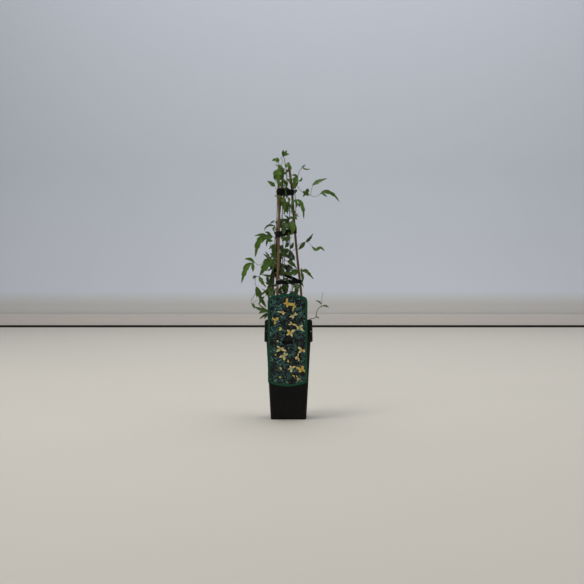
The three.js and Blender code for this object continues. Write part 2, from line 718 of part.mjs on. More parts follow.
function centreVineParts() {
  return [
    vine(VINE_CENTRE),
    // Leaf at the very top and the tendril beside it
    leaf("plain", [[-12.6, 0, 611], [-13, -2, 618], [-12, -2, 625.5]], 6),
    leaf("plain", [[-12.6, 0, 611.5], [-8, -3, 617], [-4.5, -4, 624]], 8),
    leaf("plain", [[-12.6, 0, 611.5], [-6, -3, 614.5], [2, -4, 615]], 7),
    stalk(0.55, [[-13, 0, 611.5], [-18, -1, 606], [-14, -1, 600], [-16, -2, 593], [-20, -2, 587]]),
    // Leaf over the tip of the right cane
    stalk(0.55, [[-8, 1.2, 590], [-5, -3.5, 593], [-1.5, -5.5, 592]]),
    leaf("plain", [[-2, -5.5, 592], [2, -7.5, 586.5], [7, -8, 578]], 8),
    leaf("plain", [[-1.8, -5.5, 592], [-4, -7.5, 587.5], [-6.5, -7.5, 582]], 7),
    stalk(0.5, [[-5.6, 2, 577], [-4.5, -1.5, 567], [-2, -3.5, 563.5], [2, -4, 563]]),
    leaf("slim", [[-4.1, 1.8, 552], [-4, -2, 548], [-4, -3.5, 537]], 5.5),
    // Leaves round the top clip
    stalk(0.8, [
      [1, -0.5, 506],
      [2, -5, 512],
      [-3, -8, 512.5],
      [-10, -10.5, 510.5],
      [-18, -12.5, 515],
    ]),
    leaf("slim", [[-3.5, -8.2, 512.5], [-6.5, -10, 522], [-7, -10, 534]], 5.5),
    leaf("plain", [[-9, -10.3, 510.5], [-14, -13, 508], [-18, -14, 502]], 8),
    leaf("plain", [[-1, -7.3, 512.7], [1.5, -9, 508], [1, -9, 502]], 6),
    leaf("toothed", [[-8.5, -10.2, 510.8], [-9.5, -12, 491], [-10, -10, 472.5]], 9.5),
    leaf("slim", [[-14, -11.5, 512], [-15.5, -13, 502], [-13, -13, 493]], 4.5),
    leaf("slim", [[-15, -11.8, 513], [-19.5, -14, 514.5], [-20, -14.5, 508]], 5),
    stalk(0.5, [[1.9, -0.6, 484], [5, -4, 478], [9.5, -5.5, 472.5]]),
    stalk(0.5, [
      [1.9, -0.6, 484],
      [-4, -5, 483],
      [-12, -8, 476],
      [-17, -9, 470],
      [-17.5, -9, 465],
      [-16, -9, 455],
    ]),
    stalk(0.5, [[-17.5, -9, 466], [-9, -9, 463.5], [-1, -8.5, 463]]),
    // Leaves in front of the middle clip and below it
    stalk(0.7, [[-1, 1, 450], [-2, -4, 454], [-5, -10, 453]]),
    leaf("lobed", [[-4.5, -9.5, 453.3], [-9, -20, 445], [-13, -27, 426]], 19),
    stalk(0.7, [[-5.4, -1.5, 411], [-8, -7, 413.5], [-9, -9, 414]]),
    leaf("lobed", [[-8.5, -8.5, 413.5], [-13, -14, 417], [-18, -18, 423]], 12),
    leaf("lobed", [[-7, -5.5, 412.8], [-1, -10, 420], [1, -11, 432]], 13),
    leaf("toothed", [[-9.7, -4, 375], [-13, -8, 388], [-16, -9, 403]], 16),
    // Leaves in the windows between the canes
    stalk(0.7, [[-10, -4, 368], [-6, -7, 366], [-2, -8.5, 364.5]]),
    leaf("toothed", [[-2.5, -8.3, 364.5], [8, -11, 359.5], [19.5, -12, 347]], 10),
    leaf("plain", [[-2, -8.5, 364.5], [7, -10.5, 368.5], [12.5, -11, 378.5]], 6.5),
    leaf("slim", [[-9.3, -3.8, 380.5], [-3, -7, 379], [5.5, -9, 376]], 5),
    // Dark leaves behind the label's head
    stalk(0.5, [[-9.8, -4.2, 303], [-2, -8, 304.5], [3, -10, 299], [8, -11, 291]]),
    leaf("lobed", [[-9.6, -4.5, 300], [-15, -9, 302], [-22, -12, 298]], 15),
    leaf("lobed", [[-9, -5, 292], [-8, -10, 300], [-3, -12, 307]], 11),
    leaf("toothed", [[-8.6, -5.3, 290], [-14, -9, 285], [-17, -12, 276]], 12),
  ];
}

// The stem at the back, whose leaves reach out behind the canes.
const VINE_BACK = [
  [-9, 13, 182],
  [-11, 13, 250],
  [-12, 9, 320],
  [-14, 10, 350],
  [-13, 8, 400],
  [-14, 4, 430],
  [-15, 4, 460],
  [-14, 3, 500],
  [-12, 2, 527],
  [-11.5, 1.5, 545],
];

function backVineParts() {
  const sprigs = [
    [[-10.9, 13, 246], 112, 42, 42, 45],
    [[-11, 12.8, 262], 58, 36, 44, 40],
    [[-11.5, 11.4, 292], 128, 34, 42, 60],
    [[-11.8, 9.3, 314], 84, 30, 42, 60],
    [[-14, 10, 350], 104, 32, 42, 50],
    [[-13.8, 9.9, 358], 128, 28, 42, 65],
    [[-13.5, 9.2, 380], 106, 24, 38, 45],
    [[-13.2, 8.2, 397], 122, 32, 30, 70],
    [[-14.9, 4, 444], 84, 30, 32, 55],
    [[-15, 4, 450], 62, 32, 26, 45],
    [[-14, 3.1, 499], 76, 22, 26, 45],
    [[-11.9, 1.9, 534.5], 88, 20, 28, 60],
  ];
  return [vine(VINE_BACK), ...sprigs.flatMap((values) => sprig(...values))];
}

// Two short shoots that lean out over the rim.
const SHOOT_RIGHT = [
  [32, -14, 184],
  [37, -17, 205],
  [45, -20, 225],
  [51, -21, 230.8],
  [60, -22, 232.3],
  [64, -22, 237],
  [65, -23, 246],
  [70, -23, 256],
  [79, -24, 261],
];

function rightShootParts() {
  return [
    tube(0.95, SHOOT_RIGHT, STEM_SIDES, STALK_STEP),
    stalk(0.5, [[75, -23.5, 259], [76.5, -24, 266], [77.5, -24, 280], [80, -25, 292]]),
    leaf("slim", [[76.3, -24, 264.5], [70, -25, 271], [62, -26, 273]], 3.8),
    leaf("slim", [[78.5, -24, 260.8], [86, -25.5, 261], [93.5, -27, 257]], 4.8),
    leaf("slim", [[63.8, -22, 236.5], [71, -23, 232]], 3),
  ];
}

const SHOOT_LEFT = [
  [-32, -12, 184],
  [-37, -16, 212],
  [-43, -22, 236],
  [-48, -27, 250],
];

function leftShootParts() {
  return [
    tube(0.95, SHOOT_LEFT, STEM_SIDES, STALK_STEP),
    leaf("toothed", [[-48, -27, 250], [-65, -30, 253], [-82, -32, 260]], 9),
    leaf("plain", [[-47.5, -26.5, 249], [-58, -30, 249], [-68.5, -31, 243.5]], 9),
    leaf("slim", [[-45.5, -24.5, 243.5], [-56, -28, 239], [-67, -30, 230.5]], 5.5),
    leaf("plain", [[-45, -24, 242], [-51, -28, 239], [-56, -29, 231]], 6),
    leaf("slim", [[-47.5, -26.5, 249.5], [-60, -29, 257], [-71, -31, 267.5]], 3.6),
  ];
}

// Assembly
const group = new THREE.Group();

function addPiece(name, piece, colour, roughness) {
  const { vertProperties, triVerts } = piece.getMesh();
  const geometry = new THREE.BufferGeometry();
  geometry.setAttribute("position", new THREE.BufferAttribute(vertProperties, 3));
  geometry.setIndex(new THREE.BufferAttribute(triVerts, 1));
  geometry.computeVertexNormals();
  const material = new THREE.MeshStandardMaterial({ color: colour, roughness, metalness: 0 });
  const mesh = new THREE.Mesh(geometry, material);
  mesh.name = name;
  group.add(mesh);
}

const MAIN_STEMS = {
  vine_left: [VINE_LEFT, leftVineParts],
  vine_right: [VINE_RIGHT, rightVineParts],
  vine_centre: [VINE_CENTRE, centreVineParts],
  vine_back: [VINE_BACK, backVineParts],
  shoot_right: [SHOOT_RIGHT, rightShootParts],
  shoot_left: [SHOOT_LEFT, leftShootParts],
};

// A plain hole in the peat round the foot of a stem.
function stemHole([route]) {
  const [[x, y, z], ...rest] = route;
  return tube(STEM_HOLE, [[x, y, z - GAP], ...rest.slice(0, 2)], 8, VINE_STEP);
}

addPiece("pot", makePot(), COLOURS.pot, 0.45);
const planted = [...caneBores(), ...Object.values(MAIN_STEMS).map(stemHole)];
addPiece("soil", makeSoil(planted), COLOURS.soil, 0.95);
addPiece("picture_label", makeLabel(), COLOURS.label, 0.35);
for (const [name, route] of Object.entries(CANE_ROUTES)) {
  const colour = name === "cane_front_left" ? COLOURS.tanCane : COLOURS.redCane;
  addPiece(name, makeCane(route), colour, 0.6);
}
for (const [name, clip] of Object.entries(CLIPS)) {
  addPiece(name, makeClip(clip), COLOURS.clip, 0.5);
}
for (const [name, [, parts]] of Object.entries(MAIN_STEMS)) {
  addPiece(name, join(parts()), COLOURS.leaves, 0.6);
}

export default group;
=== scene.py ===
"""A young golden clematis in its square nursery pot: the looks of every piece, built around the
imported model. Tables and meshes are in millimetres, and each finished mesh is scaled to metres."""

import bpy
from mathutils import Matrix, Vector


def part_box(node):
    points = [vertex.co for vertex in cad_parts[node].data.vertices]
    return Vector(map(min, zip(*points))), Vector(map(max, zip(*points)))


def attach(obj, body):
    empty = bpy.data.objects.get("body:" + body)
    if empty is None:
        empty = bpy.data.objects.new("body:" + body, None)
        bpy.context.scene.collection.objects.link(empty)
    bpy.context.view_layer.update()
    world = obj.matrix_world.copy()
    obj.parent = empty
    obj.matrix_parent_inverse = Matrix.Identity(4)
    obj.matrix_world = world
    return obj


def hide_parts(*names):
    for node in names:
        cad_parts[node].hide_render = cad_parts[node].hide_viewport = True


bl_info = {
    "name": "Potted Golden Clematis",
    "version": (1, 0, 0),
    "blender": (4, 5, 0),
    "location": "View3D > Sidebar > Clematis",
    "description": "Builds a young climbing clematis in its square nursery pot",
    "category": "Add Mesh",
}

import math
import random

import bmesh
import bpy
from bpy.props import FloatProperty, FloatVectorProperty, IntProperty, PointerProperty
from bpy.types import Operator, Panel, PropertyGroup
from mathutils import Euler, Matrix, Vector, noise
from mathutils.geometry import delaunay_2d_cdt

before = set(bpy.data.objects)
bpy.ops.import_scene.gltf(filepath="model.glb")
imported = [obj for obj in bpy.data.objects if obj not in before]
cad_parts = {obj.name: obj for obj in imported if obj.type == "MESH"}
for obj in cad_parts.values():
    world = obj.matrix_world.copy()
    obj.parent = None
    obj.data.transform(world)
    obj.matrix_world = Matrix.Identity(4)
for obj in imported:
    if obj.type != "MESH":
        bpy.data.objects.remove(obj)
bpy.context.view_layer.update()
MM = 0.001

# Sizes in millimetres
POT_HEIGHT = (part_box("pot")[1] / MM).z
BASE_WIDTH = 82
BODY_WIDTH = 101
COLLAR_LOW_WIDTH = 111
COLLAR_TOP_WIDTH = 108.8
STEP_LOW = 177
STEP_HIGH = 180
CORNER_SHARE = 0.085
WALL = 1.3
FLOOR = 5.4
FOOT_ARCH = {"width": 19, "height": 3.5, "depth": 9, "rounding": 1.2}
DRAIN_HOLE = {"radius": 4.5, "reach": 25}
COLLAR_SLOT = {"x": 52.1, "z": 200.8, "width": 3, "height": 2.8, "slope": 2.35}
PEG = {
    "x": -2.2, "width": 15, "height": 6.2, "reach": 58.2, "top": 183.1, "rounding": 0.8,
}
SOIL_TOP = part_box("soil")[1].z / MM
SOIL_GAP = 0.3
SOIL_STEP_HIGH = 183
SOIL_STEP_LOW = 179
SOIL_FOOT = 6
CANE_RADIUS = 2.9
CANE_NODE = {
    "spacing": 104, "swell": 0.28, "length": 1.8, "groove": 0.18, "groove_at": 2.6,
    "groove_length": 0.8, "scar_length": 2.4,
}
LABEL = {"x": -2.2, "back": -55.9, "thickness": 0.8}
LABEL_EDGE = {
    "low_half": 44.6, "top_half": 45.6, "foot": 87, "dip": 68.5, "straight": 269, "corner": 280.5,
    "shoulder": 282.8, "apex": 294.7, "corner_width": 9,
}
TAB_HOLE = {"radius": 11.4, "top": 183.4, "middle": 171.9}
TAB = {"radius": 10, "top": 175.2, "bridge_width": 4, "bridge_height": 2.2}
CAMERA = {"place": (8, -2200, 292.9), "lens": 57.96, "sensor": 36.0}
FRONT = (0, -1, 0.25)
BROAD_LEAF = 8
JOINT_REACH = 2.5
SPRIG_STALK = 0.6
PRINT_GRID = {"rows": 12, "columns": 4, "high": 17.5, "wide": 20.6, "left": -31, "foot": 84}
FLOWERS = {
    "count": 22, "apart": 15, "hole": 176, "off_hole": 17, "aside": 33, "foot": 88, "top": 272,
}
SEED = 7

# The stage, in metres
STAGE_WIDTH = 16
WALL_HEIGHT = 6
SKIRTING = {"height": 0.1, "nearer": 0.012, "middle": 0.062}
# A dark strip below the skirting: painted shadow of the gap under the board.
GAP_SHADOW = {"height": 0.018, "nearer": 0.016, "middle": 0.009}
CEILING_LIGHT = {"place": (0.4, 2.0, 4.6), "target": (0.4, 2.1, 0), "side": 7}
KEY_LIGHT = {"place": (-1.3, -1.0, 3.0), "target": (0, 0, 0.3), "side": 1.3}

CANES = {
    "cane_front_left": [
        (-28, -26, 30), (-27.3, -24, 197), (-26, -20, 295), (-25.2, -18.5, 330), (-23.5, -17, 360),
        (-23, -15.5, 400), (-22, -12.5, 470), (-23.4, -9.5, 522), (-22, -7, 590),
    ],
    "cane_back_left": [
        (-36, 24, 30), (-40.5, 24, 197), (-37.5, 21.5, 300), (-33, 18, 360), (-28, 14.5, 410),
        (-22.6, 11, 470), (-16, 8.5, 540), (-12, 6.5, 583),
    ],
    "cane_right": [
        (35, 12, 30), (32, 10, 197), (29.5, 8.5, 290), (23, 6.5, 350), (17.5, 5, 405),
        (13, 4, 460), (9.3, 2.8, 510), (6, 1.5, 550), (-0.5, -0.5, 596),
    ],
}

# Leaflet outlines, by half. Each row has the place along the midrib, the place of the edge point
# that belongs to it, and the edge's distance from the midrib as a share of half the width.
OUTLINES = {
    "slim": [(0, 0, 0.25), (0.4, 0.4, 1), (1, 1, 0.1)],
    "plain": [(0, 0, 0.12), (0.2, 0.24, 0.8), (0.48, 0.5, 1), (0.76, 0.76, 0.6), (1, 1, 0.04)],
    "toothed": [
        (0, 0, 0.1), (0.14, 0.2, 0.76), (0.3, 0.4, 1), (0.42, 0.44, 0.7), (0.56, 0.66, 0.76),
        (0.7, 0.7, 0.42), (1, 1, 0.04),
    ],
    "lobed": [
        (0, 0, 0.1), (0.1, 0.12, 0.62), (0.24, 0.44, 1), (0.4, 0.4, 0.44), (0.62, 0.64, 0.5),
        (1, 1, 0.04),
    ],
}

# Stems and stalks, with the main stem first: the radius and the points that each passes.
STEMS = {
    "vine_left": [
        (
            1.1, (-16, -6, 182), (-17, -7, 240), (-19, -8, 280), (-20, -6, 315),
            (-26, -3, 350), (-31, -3, 375), (-33, -3, 400), (-30, -2, 427), (-28, -1, 455),
            (-27, 0, 480), (-26.5, 0, 505), (-26, 1, 526), (-24, 2, 548), (-23, 2, 556),
        ),
        (
            0.9, (-24, 2, 551), (-28.5, -5, 558), (-27, -11.5, 568), (-22.5, -13, 579),
            (-23.5, -12.5, 588), (-23.5, -12, 597),
        ),
        (0.6, (-28.3, -5, 557.5), (-28, -10, 552), (-24.5, -13.5, 549.5)),
        (0.5, (-24.2, 2, 547), (-28, 2, 547.5), (-31, 1, 556)),
        (0.6, (-26.4, 0.4, 514), (-27.8, 0, 522), (-29, -1, 530), (-32, -2, 540.5)),
        (0.6, (-28, -1, 453), (-30.5, -2, 457), (-33, -2, 459.5)),
        (0.6, (-29.2, -1.6, 438), (-31.5, -4, 443), (-31.5, -4.5, 447.5)),
        (0.8, (-31, -2.3, 418), (-34, -6, 421.5), (-39, -9, 422.5)),
        (0.5, (-44.5, -10.9, 421.5), (-43, -11.5, 409), (-42, -11, 402), (-44, -11, 397)),
        (0.8, (-29.5, -3, 369), (-37, -6, 373), (-44, -8, 373.5)),
        (
            0.65, (-44, -8, 373), (-50, -12, 366), (-57, -15, 361), (-64, -18, 357.5),
            (-71, -20, 355), (-76, -21, 359.5), (-86, -23, 360.5),
        ),
        (0.7, (-24, -4, 338), (-31, -5, 338), (-38, -6, 329)),
        (0.6, (-44, -8, 372), (-56, -8, 350), (-66, -9, 334), (-69, -10, 328.5)),
        (
            0.6, (-68.6, -9.9, 329), (-75, -11, 329), (-78, -11, 321), (-77.5, -11, 313),
            (-75, -11, 304),
        ),
        (0.6, (-75, -11, 305), (-76, -9, 292), (-83, -9, 280), (-87, -9, 272), (-83, -9, 258)),
        (0.45, (-85, -9.3, 264), (-80, -10, 269), (-76, -10, 272.5), (-69, -11, 274)),
        (0.8, (-19, -8, 284), (-30, -10, 292), (-42, -12, 305), (-45, -12, 317)),
        (0.5, (-35, -11, 297), (-44, -14, 287), (-50, -15, 285), (-57, -16, 282)),
    ],
    "vine_right": [
        (
            1.1, (10, 2, 182), (9, 3, 250), (8, 4, 315), (7, 3, 350), (4, 1, 385),
            (3, 3, 428), (6, 2, 450), (10, -3, 463), (15.5, -2, 475), (17, 1, 490),
            (16, 0, 510), (14.5, -3.5, 524), (17, -3, 540), (20, -2, 552), (21, -1, 565),
        ),
        (0.7, (21, -1, 563), (24, 0, 572), (26, 1, 578), (32, 2, 584)),
        (0.5, (19.8, -2, 551), (24, -3, 552)),
        (
            0.65, (17, -3, 540.5), (20, -2.5, 540.5), (25, 0, 534), (30, 3, 529),
            (36, 5, 524), (42, 8, 519.5), (51, 10, 521), (53, 11, 530), (57, 12, 545),
        ),
        (0.55, (50, 9.8, 520.8), (57, 11, 518), (65, 13, 518), (75, 15, 524)),
        (0.7, (6, 2, 449.5), (6, -8, 456), (7.5, -17, 458)),
        (0.45, (3.2, 2.6, 418), (6, -1, 422.5), (8, -2.5, 417)),
        (
            0.65, (4, 1, 384), (8, 5, 388), (12, 9.5, 391.5), (17, 12, 397), (22, 10, 402),
            (28, 5, 407), (36, 0, 409), (41, -2, 410),
        ),
        (0.5, (40, -2, 409.8), (47, -5, 407.5), (50, -7, 404), (54.5, -9, 399)),
        (0.7, (7.2, 3, 343), (13, -2, 347), (22, -4, 343.5), (29, -4, 342.5)),
        (0.65, (8.3, 3.7, 298), (14, -7, 307), (19, -19, 311)),
    ],
    "vine_centre": [
        (
            1.1, (-3, -7, 182), (-6, -7, 250), (-10, -4, 305), (-10, -4, 372), (-8, -3, 395),
            (-5, -1, 415), (-3.5, 1, 432), (0, 1, 455), (2, 0, 467), (2, -1, 500),
            (-1, 0, 515), (-5, 2, 527), (-4, 2, 545), (-4.5, 2, 565), (-6, 2, 580),
            (-8, 1, 592), (-10, 1, 605), (-13, 0, 612),
        ),
        (0.55, (-13, 0, 611.5), (-18, -1, 606), (-14, -1, 600), (-16, -2, 593), (-20, -2, 587)),
        (0.55, (-8, 1.2, 590), (-5, -3.5, 593), (-1.5, -5.5, 592)),
        (0.5, (-5.6, 2, 577), (-4.5, -1.5, 567), (-2, -3.5, 563.5), (2, -4, 563)),
        (
            0.8, (1, -0.5, 506), (2, -5, 512), (-3, -8, 512.5), (-10, -10.5, 510.5),
            (-18, -12.5, 515),
        ),
        (0.5, (1.9, -0.6, 484), (5, -4, 478), (9.5, -5.5, 472.5)),
        (
            0.5, (1.9, -0.6, 484), (-4, -5, 483), (-12, -8, 476), (-17, -9, 470),
            (-17.5, -9, 465), (-16, -9, 455),
        ),
        (0.5, (-17.5, -9, 466), (-9, -9, 463.5), (-1, -8.5, 463)),
        (0.7, (-1, 1, 450), (-2, -4, 454), (-5, -10, 453)),
        (0.7, (-5.4, -1.5, 411), (-8, -7, 413.5), (-9, -9, 414)),
        (0.7, (-10, -4, 368), (-6, -7, 366), (-2, -8.5, 364.5)),
        (0.5, (-9.8, -4.2, 303), (-2, -8, 304.5), (3, -10, 299), (8, -11, 291)),
    ],
    "vine_back": [
        (
            1.1, (-9, 13, 182), (-11, 13, 250), (-12, 9, 320), (-14, 10, 350), (-13, 8, 400),
            (-14, 4, 430), (-15, 4, 460), (-14, 3, 500), (-12, 2, 527), (-11.5, 1.5, 545),
        ),
    ],
    "shoot_right": [
        (
            0.95, (32, -14, 184), (37, -17, 205), (45, -20, 225), (51, -21, 230.8),
            (60, -22, 232.3), (64, -22, 237), (65, -23, 246), (70, -23, 256), (79, -24, 261),
        ),
        (0.5, (75, -23.5, 259), (76.5, -24, 266), (77.5, -24, 280), (80, -25, 292)),
    ],
    "shoot_left": [
        (0.95, (-32, -12, 184), (-37, -16, 212), (-43, -22, 236), (-48, -27, 250)),
    ],
}

